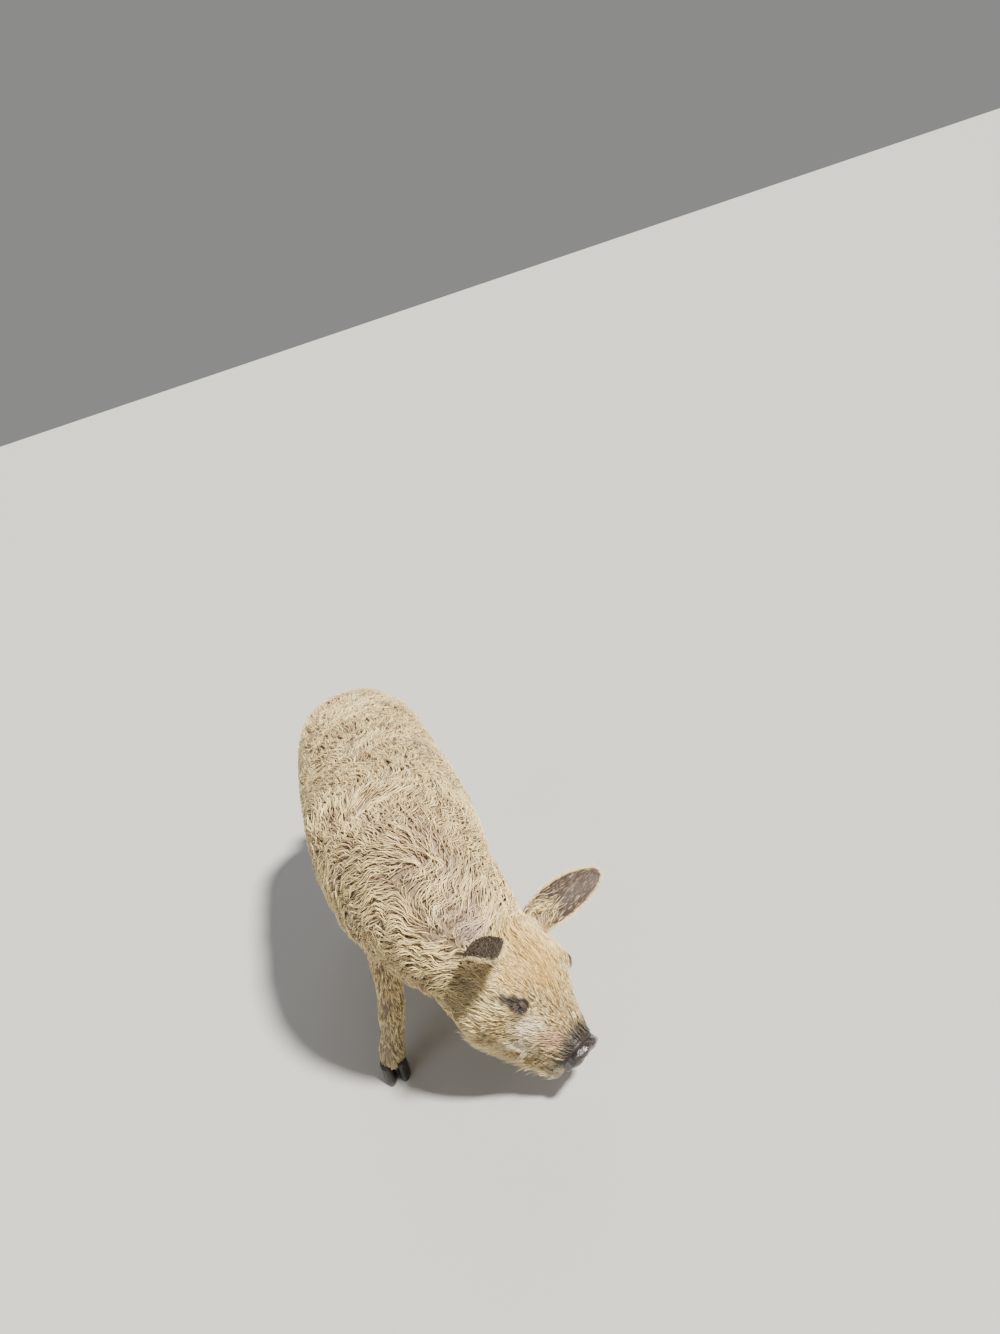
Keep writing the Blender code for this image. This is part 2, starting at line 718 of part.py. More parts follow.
def make_snout():
    """The nose disc with its two nostrils."""
    _, side, top = head_axes()
    rings = [
        oval(on_head(SNOUT_START + row[0], 0, SNOUT_LIFT), side, top, row[1], row[2], row[2], 2.3, 24)
        for row in SNOUT
    ]
    snout = loft("snout", rings)
    for which in (-1, 1):
        centre = on_head(SNOUT_START + SNOUT[-1][0], which * NOSTRIL_PLACE[0], SNOUT_LIFT + NOSTRIL_PLACE[1])
        nostril = ball("nostril", (0, 0, 0), 1.0, 12, 8)
        turn = Matrix([along_head(*axis) for axis in ((0, 1, 0), (0, 0, 1), (1, 0, 0))]).transposed().to_4x4()
        nostril.data.transform(Matrix.Translation(centre) @ turn @ Matrix.Diagonal((*NOSTRIL, 1)))
        cut(snout, nostril)
    return snout


def make_eye(name, which):
    """One eyeball, whole, in its pocket."""
    return ball(name, eye_frame(which)[0], EYE_RADIUS, 12, 8)


def make_ear(name, head, body):
    """One ear: a cupped leaf along its bent middle line, cut clear of the head and of the body behind it."""
    root, bend, tip, face = EARS[name]
    root, bend, tip = on_head(*root), on_head(*bend), on_head(*tip)
    face = along_head(*face).normalized()
    points = []
    for place, half_width, cup in EAR_ROWS:
        middle = root.lerp(bend, place).lerp(bend.lerp(tip, place), place)
        ahead = (bend.lerp(tip, place) - root.lerp(bend, place)).normalized()
        inward = (face - ahead * face.dot(ahead)).normalized()
        across = ahead.cross(inward)
        for step in range(EAR_ACROSS):
            aside = 2 * step / (EAR_ACROSS - 1) - 1
            points.append(middle + across * aside * half_width + inward * cup * (aside**2 - 0.4))
    faces = [
        (r * EAR_ACROSS + i, r * EAR_ACROSS + i + 1, (r + 1) * EAR_ACROSS + i + 1, (r + 1) * EAR_ACROSS + i)
        for r in range(len(EAR_ROWS) - 1)
        for i in range(EAR_ACROSS - 1)
    ]
    mesh = bpy.data.meshes.new(name)
    mesh.from_pydata([tuple(point) for point in points], [], faces)
    ear = add(name, mesh)
    modify(ear, "TRIANGULATE")
    modify(ear, "SOLIDIFY", thickness=EAR_THICK, offset=0.0)
    tidy(ear.data)
    for carrier in (head, body):
        cut(ear, grown(carrier, GAP))
    return ear


def trim_trunk(trunk, margin):
    """Take the head and the legs off the trunk, at a distance from where they part."""
    point, forward = head_cut()
    slice_off(trunk, point - forward * margin, forward)
    for name in FEET:
        cut(trunk, leg_region(name, margin), "DIFFERENCE", "MANIFOLD")


def make_trunk(body):
    """Neck and torso in one, with its coat still to grow."""
    trunk = copy_of(body, "trunk")
    trim_trunk(trunk, -ROUGH)
    thinned(trunk, TRUNK_TRIANGLES)
    return trunk


def make_neck_and_torso(trunk, clumps):
    """Neck and torso with their coat, parted by a flat cut."""
    grow_coat(trunk, clumps)
    trim_trunk(trunk, GAP / 2)
    torso = trunk
    torso.name = "torso"
    neck = copy_of(torso, "neck")
    point, forward = NECK_CUT
    slice_off(neck, point + forward * GAP / 2, -forward)
    slice_off(torso, point - forward * GAP / 2, forward)
    return neck, torso


def make_leg(name, body, clumps):
    """One leg with its share of the coat, from its cut at the torso to its flat end over the claws."""
    leg = copy_of(body, name)
    sole = Vector((0, 0, CLAW_HEIGHT))
    down = Vector((0, 0, -1))
    cut(leg, leg_region(name, ROUGH), "INTERSECT", "MANIFOLD")
    slice_off(leg, sole + down * ROUGH, down)
    thinned(leg, LEG_TRIANGLES[name.split("_")[0]])
    grow_coat(leg, clumps)
    cut(leg, leg_region(name, -GAP / 2), "INTERSECT", "MANIFOLD")
    slice_off(leg, sole, down)
    return leg


def make_claw(name, foot, which):
    """One claw: flat sole on the floor, sloping front, top against the leg."""
    _, _, foot_x, foot_y = FEET[foot]
    foot_x *= FEET[foot][1]
    rings = []
    for share in (0.0, 0.12, 1.0):
        front = CLAW_SOLE[0] + (CLAW_TOP[0] - CLAW_SOLE[0]) * share
        back = CLAW_SOLE[1] + (CLAW_TOP[1] - CLAW_SOLE[1]) * share
        full = 0.94 if share == 0.0 else 1.0
        centre = (foot_x + which * (CLAW_SPLIT + CLAW_WIDTH), foot_y + (front + back) / 2,
                  (CLAW_HEIGHT - GAP) * share)
        rings.append(oval(centre, (1, 0, 0), (0, 1, 0), CLAW_WIDTH * full, (back - front) / 2 * full,
                          (back - front) / 2 * full, 2.5, 10))
    return loft(name, rings)


def make_dewclaw(name, foot, which, leg):
    """One dewclaw: a blunt cone behind the leg, pointing down and back."""
    aside, sunk, height, length, radius = DEWCLAW
    rows, side, foot_x, foot_y = FEET[foot]
    upwards = np.array(rows)[::-1]
    out, back, half_length = (np.interp(height, upwards[:, 2], upwards[:, column]) for column in (0, 1, 4))
    bpy.ops.mesh.primitive_cone_add(vertices=8, radius1=radius, radius2=radius * 0.45, depth=length)
    claw = bpy.context.object
    claw.name = name
    claw.rotation_euler = (math.radians(180 - 32), 0, 0)
    root = Vector((side * (foot_x + out), foot_y + back + half_length, height))
    claw.location = root + Vector((which * aside, -sunk, -length / 3))
    bake(claw)
    tidy(claw.data)
    cut(claw, grown(leg, GAP))
    return claw


def tail_point(share):
    """A point of the tail's middle line: a straight root, then a curl that drifts across."""
    top = TAIL_CURL + Vector((0, 0, TAIL_CURL_RADIUS))
    straight = 0.25
    if share < straight:
        return TAIL_ROOT.lerp(top, share / straight)
    turn = (share - straight) / (1 - straight) * TAIL_TURNS
    angle = turn * 2 * math.pi
    return TAIL_CURL + Vector((TAIL_DRIFT * turn, math.sin(angle) * TAIL_CURL_RADIUS,
                               math.cos(angle) * TAIL_CURL_RADIUS))


def tail_rings(points, radii, sides):
    """Rings of a round tube along points, each turned as little as possible from the last."""
    rings = []
    side = Vector((1, 0, 0))
    for index, (point, radius) in enumerate(zip(points, radii)):
        ahead = (points[min(index + 1, len(points) - 1)] - points[max(index - 1, 0)]).normalized()
        side = (side - ahead * side.dot(ahead)).normalized()
        rings.append(oval(point, side, ahead.cross(side), radius, radius, radius, 2.0, sides))
    return rings


def make_tail(body):
    """The curled tail with the tassel that hangs from its end."""
    count = 26
    points = [tail_point(step / (count - 1)) for step in range(count)]
    radii = [TAIL_RADII[0] + (TAIL_RADII[1] - TAIL_RADII[0]) * step / (count - 1) for step in range(count)]
    tail = loft("tail", tail_rings(points, radii, 10))
    end = points[-1]
    hang = [end + Vector((0, 0.10 * drop, 0.004 - drop)) for drop, _ in TASSEL]
    tassel = loft("tassel", tail_rings(hang, [radius for _, radius in TASSEL], 8))
    combine(tail, [tassel], "UNION")
    cut(tail, grown(body, GAP))
    return tail


def material(name):
    """A plain finish for one kind of surface."""
    colour, roughness = COATS[name]
    made = bpy.data.materials.new(name)
    made.use_nodes = True
    shader = made.node_tree.nodes["Principled BSDF"]
    shader.inputs["Base Color"].default_value = (*colour, 1)
    shader.inputs["Roughness"].default_value = roughness
    shader.inputs["Metallic"].default_value = 0.0
    return made


def finish(pieces):
    """Shift each piece to the origin, dress it and put it in the pig's collection."""
    pig = bpy.data.collections.new("mangalica_pig")
    bpy.context.scene.collection.children.link(pig)
    finishes = {name: material(name) for name in COATS}
    for piece, coat in pieces:
        piece.data.transform(Matrix.Translation(-MIDDLE))
        piece.data.materials.clear()
        piece.data.materials.append(finishes[coat])
        piece.data.shade_smooth()
        piece.data.set_sharp_from_angle(angle=math.radians(SHARP))
        for collection in list(piece.users_collection):
            collection.objects.unlink(piece)
        pig.objects.link(piece)


def main():
    for old in list(bpy.data.objects):
        bpy.data.objects.remove(old, do_unlink=True)
    body = whole_body()
    clumps = coat_clumps(body)
    head = make_head(body)
    trunk = make_trunk(body)
    ears = [make_ear(name, head, trunk) for name in EARS]
    tail = make_tail(trunk)
    point, forward = head_cut()
    grow_coat(head, reaching(clumps, lambda place: (place - point).dot(forward) > 0))
    slice_off(head, point + forward * GAP / 2, -forward)
    neck, torso = make_neck_and_torso(trunk, clumps)
    legs = {}
    for name in FEET:
        legs[name] = make_leg(name, body, reaching(clumps, lambda place: near_leg(name, place)))
    for each in clumps + [body]:
        bpy.data.objects.remove(each, do_unlink=True)

    pieces = [(head, "coat"), (neck, "coat"), (torso, "coat"), (tail, "coat"), (make_snout(), "snout")]
    pieces += [(leg, "coat") for leg in legs.values()]
    pieces += [(ear, "ear") for ear in ears]
    pieces += [(make_eye("eye_right", -1), "eye"), (make_eye("eye_left", 1), "eye")]
    for foot, leg in legs.items():
        for which, place in ((-1, "a"), (1, "b")):
            pieces.append((make_claw(f"claw_{foot}_{place}", foot, which), "claw"))
            pieces.append((make_dewclaw(f"dewclaw_{foot}_{place}", foot, which, leg), "claw"))
    finish(pieces)


main()
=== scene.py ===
"""A young mangalica pig, life size: skin, curly coat, eyes, nose and hooves, dressed over its fixed frame.

The pig faces -Y, its left side is +X and the floor is at Z = 0. Lengths are in metres.
"""

import json
import logging
import math
from dataclasses import dataclass, field, replace
from enum import Enum
from typing import Sequence

import bpy
import numpy as np
from mathutils import Matrix, Vector
from mathutils.bvhtree import BVHTree
from mathutils.kdtree import KDTree

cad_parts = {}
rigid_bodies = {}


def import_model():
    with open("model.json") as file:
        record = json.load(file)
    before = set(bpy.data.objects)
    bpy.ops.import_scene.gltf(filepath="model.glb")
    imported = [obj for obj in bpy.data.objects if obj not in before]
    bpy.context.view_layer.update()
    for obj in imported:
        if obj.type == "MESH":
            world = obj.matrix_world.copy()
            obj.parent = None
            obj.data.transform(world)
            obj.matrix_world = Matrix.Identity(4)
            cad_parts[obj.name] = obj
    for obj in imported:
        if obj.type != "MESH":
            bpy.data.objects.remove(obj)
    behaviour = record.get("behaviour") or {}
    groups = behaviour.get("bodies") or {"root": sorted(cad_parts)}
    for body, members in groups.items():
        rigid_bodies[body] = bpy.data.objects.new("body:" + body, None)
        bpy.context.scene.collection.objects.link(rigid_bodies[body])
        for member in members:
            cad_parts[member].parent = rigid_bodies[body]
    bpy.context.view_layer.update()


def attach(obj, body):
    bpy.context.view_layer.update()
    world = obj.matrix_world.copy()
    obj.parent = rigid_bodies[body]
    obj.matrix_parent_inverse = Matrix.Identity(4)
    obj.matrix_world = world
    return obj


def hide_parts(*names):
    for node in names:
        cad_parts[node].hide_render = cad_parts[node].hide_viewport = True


log = logging.getLogger("mangalica")

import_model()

# The point of the floor that the sizes below were laid out from, as seen from the frame's origin.
MIDDLE = np.array([0.070, 0.207, 0.0])
PHOTO_HEIGHT = 1334
FEET = ("foreleg_right", "foreleg_left", "hindleg_right", "hindleg_left")
SEED = 41
Rows = np.ndarray
Colour = tuple[float, float, float]


def smooth_rows(rows: Sequence[Sequence[float]], count: int) -> Rows:
    """Read a Catmull-Rom curve through rows of numbers at evenly spaced places.

    Args:
        rows: The rows that the curve runs through.
        count: How many places are read.

    Returns:
        One row of numbers for each place.
    """
    table = np.array(rows, float)
    padded = np.vstack([2 * table[0] - table[1], table, 2 * table[-1] - table[-2]])
    place = np.linspace(0, len(table) - 1, count)
    first = np.minimum(place.astype(int), len(table) - 2)
    t = (place - first)[:, None]
    a, b, c, d = (padded[first + step] for step in range(4))
    square = 2 * a - 5 * b + 4 * c - d
    return 0.5 * (2 * b + (c - a) * t + square * t**2 + (3 * b - a - 3 * c + d) * t**3)


def share(value: np.ndarray, none: float, whole: float) -> np.ndarray:
    """Rise smoothly from 0 where a value is `none` to 1 where it is `whole`.

    Args:
        value: The values to judge.
        none: Where the share is 0.
        whole: Where the share is 1.

    Returns:
        The share for each value.
    """
    t = np.clip((np.asarray(value, float) - none) / (whole - none), 0, 1)
    return t * t * (3 - 2 * t)


def unit(vectors: np.ndarray) -> np.ndarray:
    """Scale each vector to length 1."""
    return vectors / np.maximum(np.linalg.norm(vectors, axis=-1, keepdims=True), 1e-12)


def flatten(vectors: np.ndarray, normals: np.ndarray) -> np.ndarray:
    """Turn each vector into the surface that its normal belongs to."""
    return unit(vectors - normals * np.sum(vectors * normals, axis=-1, keepdims=True))


def tree_of(points: np.ndarray) -> KDTree:
    """Sort points so that the one nearest to a place is found quickly."""
    tree = KDTree(len(points))
    for index, point in enumerate(points):
        tree.insert(Vector(point), index)
    tree.balance()
    return tree


def swell(points: np.ndarray, size: float, seed: int) -> np.ndarray:
    """Give a soft wandering value between -1 and 1 at each point.

    Args:
        points: Where it is read.
        size: About how far apart its hills lie.
        seed: Which pattern is used.

    Returns:
        The value at each point.
    """
    chance = np.random.default_rng(seed)
    total = np.zeros(len(points))
    for _ in range(6):
        way = chance.normal(size=3)
        way *= 2 * math.pi / size / np.linalg.norm(way) * chance.uniform(0.6, 1.25)
        total += np.sin(points @ way + chance.uniform(0, 2 * math.pi))
    return total / 3.2


def oval(centre: np.ndarray, side: np.ndarray, top: np.ndarray, sizes: Sequence[float], sides: int,
         square: float = 2.2) -> np.ndarray:
    """Lay out one ring of points, fuller than an ellipse by its squareness.

    Args:
        centre: The middle of the ring.
        side: Its level direction.
        top: Its upward direction.
        sizes: Half width, rise and drop.
        sides: How many points it has.
        square: Its squareness, where 2 is an ellipse.

    Returns:
        The ring's points.
    """
    angle = np.linspace(0, 2 * math.pi, sides, endpoint=False)
    across = np.sign(np.sin(angle)) * np.abs(np.sin(angle)) ** (2 / square)
    over = np.sign(np.cos(angle)) * np.abs(np.cos(angle)) ** (2 / square)
    height = np.where(over > 0, sizes[1], sizes[2]) * over
    return centre + np.outer(across * sizes[0], side) + np.outer(height, top)


def tube_rings(points: np.ndarray, radii: Sequence[float], sides: int) -> np.ndarray:
    """Lay round rings along a line, each turned as little as possible from the last."""
    rings = []
    side = np.array([1.0, 0.0, 0.0])
    for ahead, point, radius in zip(unit(np.gradient(points, axis=0)), points, radii):
        side = unit(side - ahead * side.dot(ahead))
        rings.append(oval(point, side, np.cross(ahead, side), (radius, radius, radius), sides, 2.0))
    return np.array(rings)


class Bench:
    """Where meshes are started, shaped and put together."""

    @staticmethod
    def clear() -> None:
        """Leave nothing selected and no object open."""
        if bpy.context.object and bpy.context.object.mode != "OBJECT":
            bpy.ops.object.mode_set(mode="OBJECT")
        bpy.ops.object.select_all(action="DESELECT")

    @staticmethod
    def place(piece: bpy.types.Object, points: np.ndarray) -> None:
        """Move a piece's corners to new places."""
        piece.data.vertices.foreach_set("co", np.asarray(points, np.float32).ravel())
        piece.data.update()

    @staticmethod
    def corners(piece: bpy.types.Object) -> np.ndarray:
        """Read the places of a piece's corners."""
        read = np.empty(len(piece.data.vertices) * 3, np.float32)
        piece.data.vertices.foreach_get("co", read)
        return read.reshape(-1, 3).astype(float)

    @staticmethod
    def normals(piece: bpy.types.Object) -> np.ndarray:
        """Read the outward direction at each of a piece's corners."""
        read = np.empty(len(piece.data.vertices) * 3, np.float32)
        piece.data.vertex_normals.foreach_get("vector", read)
        return read.reshape(-1, 3).astype(float)

    @staticmethod
    def note(piece: bpy.types.Object, name: str, values: np.ndarray) -> None:
        """Write a number at each of a piece's corners, under a name that a finish can read."""
        layer = piece.data.attributes.new(name, "FLOAT", "POINT")
        layer.data.foreach_set("value", values.astype(np.float32))

    @classmethod
    def choose(cls, piece: bpy.types.Object) -> None:
        """Select one piece alone and make it the active one."""
        cls.clear()
        piece.select_set(True)
        bpy.context.view_layer.objects.active = piece

    @classmethod
    def loft(cls, name: str, rings: np.ndarray, closed: bool = True) -> bpy.types.Object:
        """Roll a grid up into a body that runs through rings of points.

        Args:
            name: The new piece's name.
            rings: The rings, each with the same number of points.
            closed: Whether the rings are closed loops and the ends are filled.

        Returns:
            The new piece.
        """
        cls.clear()
        if closed:
            rings = np.concatenate([rings, rings[:, :1]], axis=1)
        count, sides = rings.shape[:2]
        bpy.ops.mesh.primitive_grid_add(x_subdivisions=sides - 1, y_subdivisions=count - 1, size=1)
        piece = bpy.context.object
        piece.name = piece.data.name = name
        cls.place(piece, rings.reshape(-1, 3))
        if closed:
            bpy.ops.object.mode_set(mode="EDIT")
            bpy.ops.mesh.select_all(action="SELECT")
            bpy.ops.mesh.remove_doubles(threshold=1e-6)
            bpy.ops.mesh.fill_holes(sides=0)
            bpy.ops.mesh.normals_make_consistent(inside=False)
            bpy.ops.object.mode_set(mode="OBJECT")
        return piece

    @classmethod
    def ball(cls, name: str, centre: np.ndarray, radius: float, segments: int = 32) -> bpy.types.Object:
        """Add a round body at its place, with the place in its mesh."""
        cls.clear()
        bpy.ops.mesh.primitive_uv_sphere_add(segments=segments, ring_count=segments // 2, radius=radius,
                                             location=tuple(centre))
        piece = bpy.context.object
        piece.name = piece.data.name = name
        bpy.ops.object.transform_apply(location=True, rotation=True, scale=True)
        return piece

    @classmethod
    def join(cls, name: str, pieces: Sequence[bpy.types.Object]) -> bpy.types.Object:
        """Make one object of several, whose bodies may still overlap."""
        cls.clear()
        for piece in pieces:
            piece.select_set(True)
        bpy.context.view_layer.objects.active = pieces[0]
        bpy.ops.object.join()
        pieces[0].name = pieces[0].data.name = name
        return pieces[0]

    @classmethod
    def modify(cls, piece: bpy.types.Object, kind: str, **settings: object) -> None:
        """Add one modifier with its settings and apply it."""
        cls.choose(piece)
        modifier = piece.modifiers.new(kind.title(), kind)
        for setting, value in settings.items():
            setattr(modifier, setting, value)
        bpy.ops.object.modifier_apply(modifier=modifier.name)

    @classmethod
    def smooth(cls, piece: bpy.types.Object, angle: float = 180.0) -> None:
        """Shade a piece smooth, with edges sharper than an angle left sharp."""
        cls.choose(piece)
        bpy.ops.object.shade_smooth_by_angle(angle=math.radians(angle))

    @classmethod
    def mark(cls, piece: bpy.types.Object, name: str, chosen: np.ndarray) -> str:
        """Make a vertex group of the chosen corners and give its name."""
        group = piece.vertex_groups.new(name=name)
        group.add(np.nonzero(chosen)[0].tolist(), 1.0, "REPLACE")
        return group.name


@dataclass
class HeadPlan:
    """Where the head starts behind the poll, how it is held, and its sections along its own axis."""

    base: np.ndarray = field(default_factory=lambda: np.array([0.073, -0.120, 0.211]) - MIDDLE)
    turn: float = math.radians(35.0)
    dip: float = math.radians(45.0)
    roll: float = math.radians(-19.0)
    skull: tuple = (
        (0.000, 0.088, 0.083, 0.098),
        (0.030, 0.092, 0.088, 0.104),
        (0.060, 0.092, 0.084, 0.102),
        (0.090, 0.084, 0.073, 0.090),
        (0.120, 0.066, 0.058, 0.070),
        (0.148, 0.048, 0.045, 0.046),
        (0.172, 0.038, 0.037, 0.034),
        (0.194, 0.033, 0.032, 0.029),
    )
    jaw: tuple = (
        (0.060, 0.048, 0.030, 0.030, 0.076),
        (0.095, 0.044, 0.026, 0.030, 0.069),
        (0.130, 0.036, 0.022, 0.026, 0.059),
        (0.162, 0.027, 0.018, 0.020, 0.049),
        (0.186, 0.021, 0.014, 0.016, 0.046),
        (0.197, 0.014, 0.009, 0.011, 0.047),
        (0.202, 0.005, 0.003, 0.004, 0.047),
    )
    swellings: tuple = ((0.084, 0.043, 0.038, 0.0305), (0.058, 0.048, -0.029, 0.041))
    mouth: tuple = (
        (0.196, -0.0350),
        (0.183, -0.0345),
        (0.165, -0.0345),
        (0.145, -0.0355),
        (0.125, -0.0320),
        (0.110, -0.0250),
    )
    lip_offset: float = 0.0068
    lip_radius: float = 0.0056
    eye_place: tuple = (0.097, 0.0625, 0.0420)
    eye_radius: float = 0.0105
    eye_look: tuple = (0.30, 0.85, 0.43)
    face_coat: float = 0.0026
    neck_coat: float = 0.0094
    coat_thins: tuple = (0.035, 0.095)

    def __post_init__(self) -> None:
        """Work out the head's own axes: forward, to its left and up over the forehead."""
        level_out = math.cos(self.dip)
        self.forward = np.array([math.sin(self.turn) * level_out, -math.cos(self.turn) * level_out,
                                 -math.sin(self.dip)])
        level = np.array([math.cos(self.turn), math.sin(self.turn), 0.0])
        self.side = level * math.cos(self.roll) + np.cross(self.forward, level) * math.sin(self.roll)
        self.top = np.cross(self.forward, self.side)
        self.axes = np.array([self.forward, self.side, self.top])

    def point(self, ahead: float, aside: float, over: float) -> np.ndarray:
        """Give the place that lies so far ahead, to the head's left and over its axis."""
        return self.base + np.array([ahead, aside, over]) @ self.axes

    def way(self, ahead: float, aside: float, over: float) -> np.ndarray:
        """Give a direction by the head's own axes."""
        return np.array([ahead, aside, over]) @ self.axes

    def seen(self, points: np.ndarray) -> np.ndarray:
        """Give points by the head's own axes, as ahead, aside and over."""
        return (points - self.base) @ self.axes.T

    def coat_depth(self, ahead: np.ndarray) -> np.ndarray:
        """Give how deep the skin lies under the hair's tips at a distance along the head."""
        return self.face_coat + self.neck_coat * (1 - share(ahead, *self.coat_thins))


HEAD = HeadPlan()


@dataclass
class EarPlan:
    """One ear: root, bend and tip of its middle line, and the way its cup faces, by the head's axes."""

    name: str
    root: tuple
    bend: tuple
    tip: tuple
    face: tuple
    rows: tuple = (
        (0.00, 0.0200, 0.0170),
        (0.16, 0.0235, 0.0165),
        (0.34, 0.0270, 0.0140),
        (0.52, 0.0270, 0.0105),
        (0.70, 0.0240, 0.0078),
        (0.86, 0.0180, 0.0050),
        (0.96, 0.0105, 0.0024),
        (1.00, 0.0040, 0.0008),
    )
    thickness: float = 0.0024
    curl: float = 0.0016

    def facing(self) -> np.ndarray:
        """Give the way the ear's cup faces."""
        return unit(HEAD.way(*self.face))

    def middle(self, place: float) -> tuple[np.ndarray, np.ndarray]:
        """Give the point at a place along the middle line and the way on from it."""
        root, bend, tip = HEAD.point(*self.root), HEAD.point(*self.bend), HEAD.point(*self.tip)
        first = root + (bend - root) * place
        second = bend + (tip - bend) * place
        return first + (second - first) * place, unit(second - first)

    def leaf(self, along: int, across: int) -> np.ndarray:
        """Lay out the leaf's points, row by row from the root to the tip."""
        face = self.facing()
        table = np.array(self.rows)
        rings = []
        for place in np.linspace(0, 1, along) ** 0.9:
            half_width, cup = (np.interp(place, table[:, 0], table[:, column]) for column in (1, 2))
            point, ahead = self.middle(place)
            inward = unit(face - ahead * face.dot(ahead))
            sideways = np.cross(ahead, inward)
            aside = np.linspace(-1, 1, across)
            wave = self.curl * np.sin(place * 9 + aside * 2.2) * np.abs(aside)
            rings.append(point + np.outer(aside * half_width, sideways)
                         + np.outer(cup * (aside**2 - 0.4) + wave * place, inward))
        return np.array(rings)


EARS = (
    EarPlan("ear_left", (0.026, 0.056, 0.052), (0.028, 0.100, 0.090), (0.044, 0.160, 0.130),
            (0.10, -0.61, 0.77)),
    EarPlan("ear_right", (0.010, -0.060, 0.056), (-0.006, -0.102, 0.114), (0.035, -0.115, 0.122),
            (0.86, -0.07, -0.49)),
)


def ear_distance(points: np.ndarray, reach: float = 0.095) -> np.ndarray:
    """Measure how far points lie from the nearer ear's leaf, or give 1 where that is out of reach."""
    far = np.ones(len(points))
    for plan in EARS:
        tree = tree_of(plan.leaf(60, 30).reshape(-1, 3))
        close = np.nonzero(np.linalg.norm(points - plan.middle(0.5)[0], axis=1) < reach)[0]
        found = np.array([tree.find(Vector(points[index]))[2] for index in close])
        if len(close):
            far[close] = np.minimum(far[close], found)
    return far


def nearer_ear(points: np.ndarray) -> np.ndarray:
    """Tell which ear each point is nearer to, as its number in EARS."""
    middles = np.array([plan.middle(0.4)[0] for plan in EARS])
    return np.argmin(np.linalg.norm(points[:, None] - middles[None], axis=2), axis=1)


def mouth_distance(ahead: np.ndarray, over: np.ndarray, count: int = 40) -> np.ndarray:
    """Measure how far places lie from the mouth line, as seen from the head's side.

    Args:
        ahead: How far ahead on the head each place lies.
        over: How far over the head's axis it lies.
        count: How many points of the line are looked at.

    Returns:
        The distance of each place.
    """
    line = smooth_rows(HEAD.mouth, count)
    return np.min(np.hypot(ahead[:, None] - line[None, :, 0], over[:, None] - line[None, :, 1]), axis=1)


@dataclass
class TrunkPlan:
    """Trunk and neck: x, y, z of each section's centre, half width, rise and drop, from the tail forwards."""

    rows: tuple = (
        (-0.022, 0.620, 0.350, 0.010, 0.012, 0.014),
        (-0.022, 0.614, 0.348, 0.040, 0.044, 0.052),
        (-0.021, 0.598, 0.341, 0.070, 0.068, 0.084),
        (-0.018, 0.565, 0.330, 0.099, 0.092, 0.112),
        (-0.014, 0.510, 0.321, 0.118, 0.114, 0.130),
        (-0.008, 0.430, 0.314, 0.128, 0.130, 0.133),
        (-0.005, 0.330, 0.308, 0.134, 0.139, 0.138),
        (0.001, 0.220, 0.305, 0.139, 0.140, 0.141),
        (0.006, 0.110, 0.303, 0.139, 0.137, 0.138),
        (0.013, 0.020, 0.300, 0.132, 0.132, 0.132),
        (0.022, -0.036, 0.290, 0.122, 0.125, 0.127),
        (0.037, -0.078, 0.272, 0.112, 0.114, 0.119),
        (0.052, -0.106, 0.249, 0.103, 0.103, 0.111),
        (0.066, -0.126, 0.225, 0.092, 0.090, 0.100),
        (0.077, -0.140, 0.205, 0.078, 0.076, 0.086),
    )
    coat_depth: float = 0.012
    tail_root: tuple = (-0.022, 0.596, 0.372)
    tail_curl: tuple = (-0.026, 0.652, 0.350)
    tail_curl_radius: float = 0.0205
    tail_drift: float = 0.017
    tail_turns: float = 1.30
    tail_radii: tuple = (0.0078, 0.0036)

    def rings(self) -> np.ndarray:
        """Lay out the trunk's rings inside its coat."""
        rows = smooth_rows(self.rows, 110)
        rows[:, :3] -= MIDDLE
        rows[:, 3:] = np.maximum(rows[:, 3:] - self.coat_depth, rows[:, 3:] * 0.4)
        rings = []
        for row, forward in zip(rows, unit(np.gradient(rows[:, :3], axis=0))):
            side = unit(np.cross((0, 0, 1), forward))
            rings.append(oval(row[:3], side, np.cross(forward, side), row[3:], 56))
        return np.array(rings)

    def tail_line(self, count: int = 40) -> np.ndarray:
        """Lay out the tail's middle line: a straight root, then a curl that drifts across."""
        root, curl = np.array(self.tail_root) - MIDDLE, np.array(self.tail_curl) - MIDDLE
        start = curl + np.array([0, 0, self.tail_curl_radius])
        straight = 0.25
        points = []
        for place in np.linspace(0, 1, count):
            if place < straight:
                points.append(root + (start - root) * place / straight)
                continue
            turn = (place - straight) / (1 - straight) * self.tail_turns
            angle = turn * 2 * math.pi
            points.append(curl + np.array([self.tail_drift * turn, math.sin(angle) * self.tail_curl_radius,
                                           math.cos(angle) * self.tail_curl_radius]))
        return np.array(points)


TRUNK = TrunkPlan()


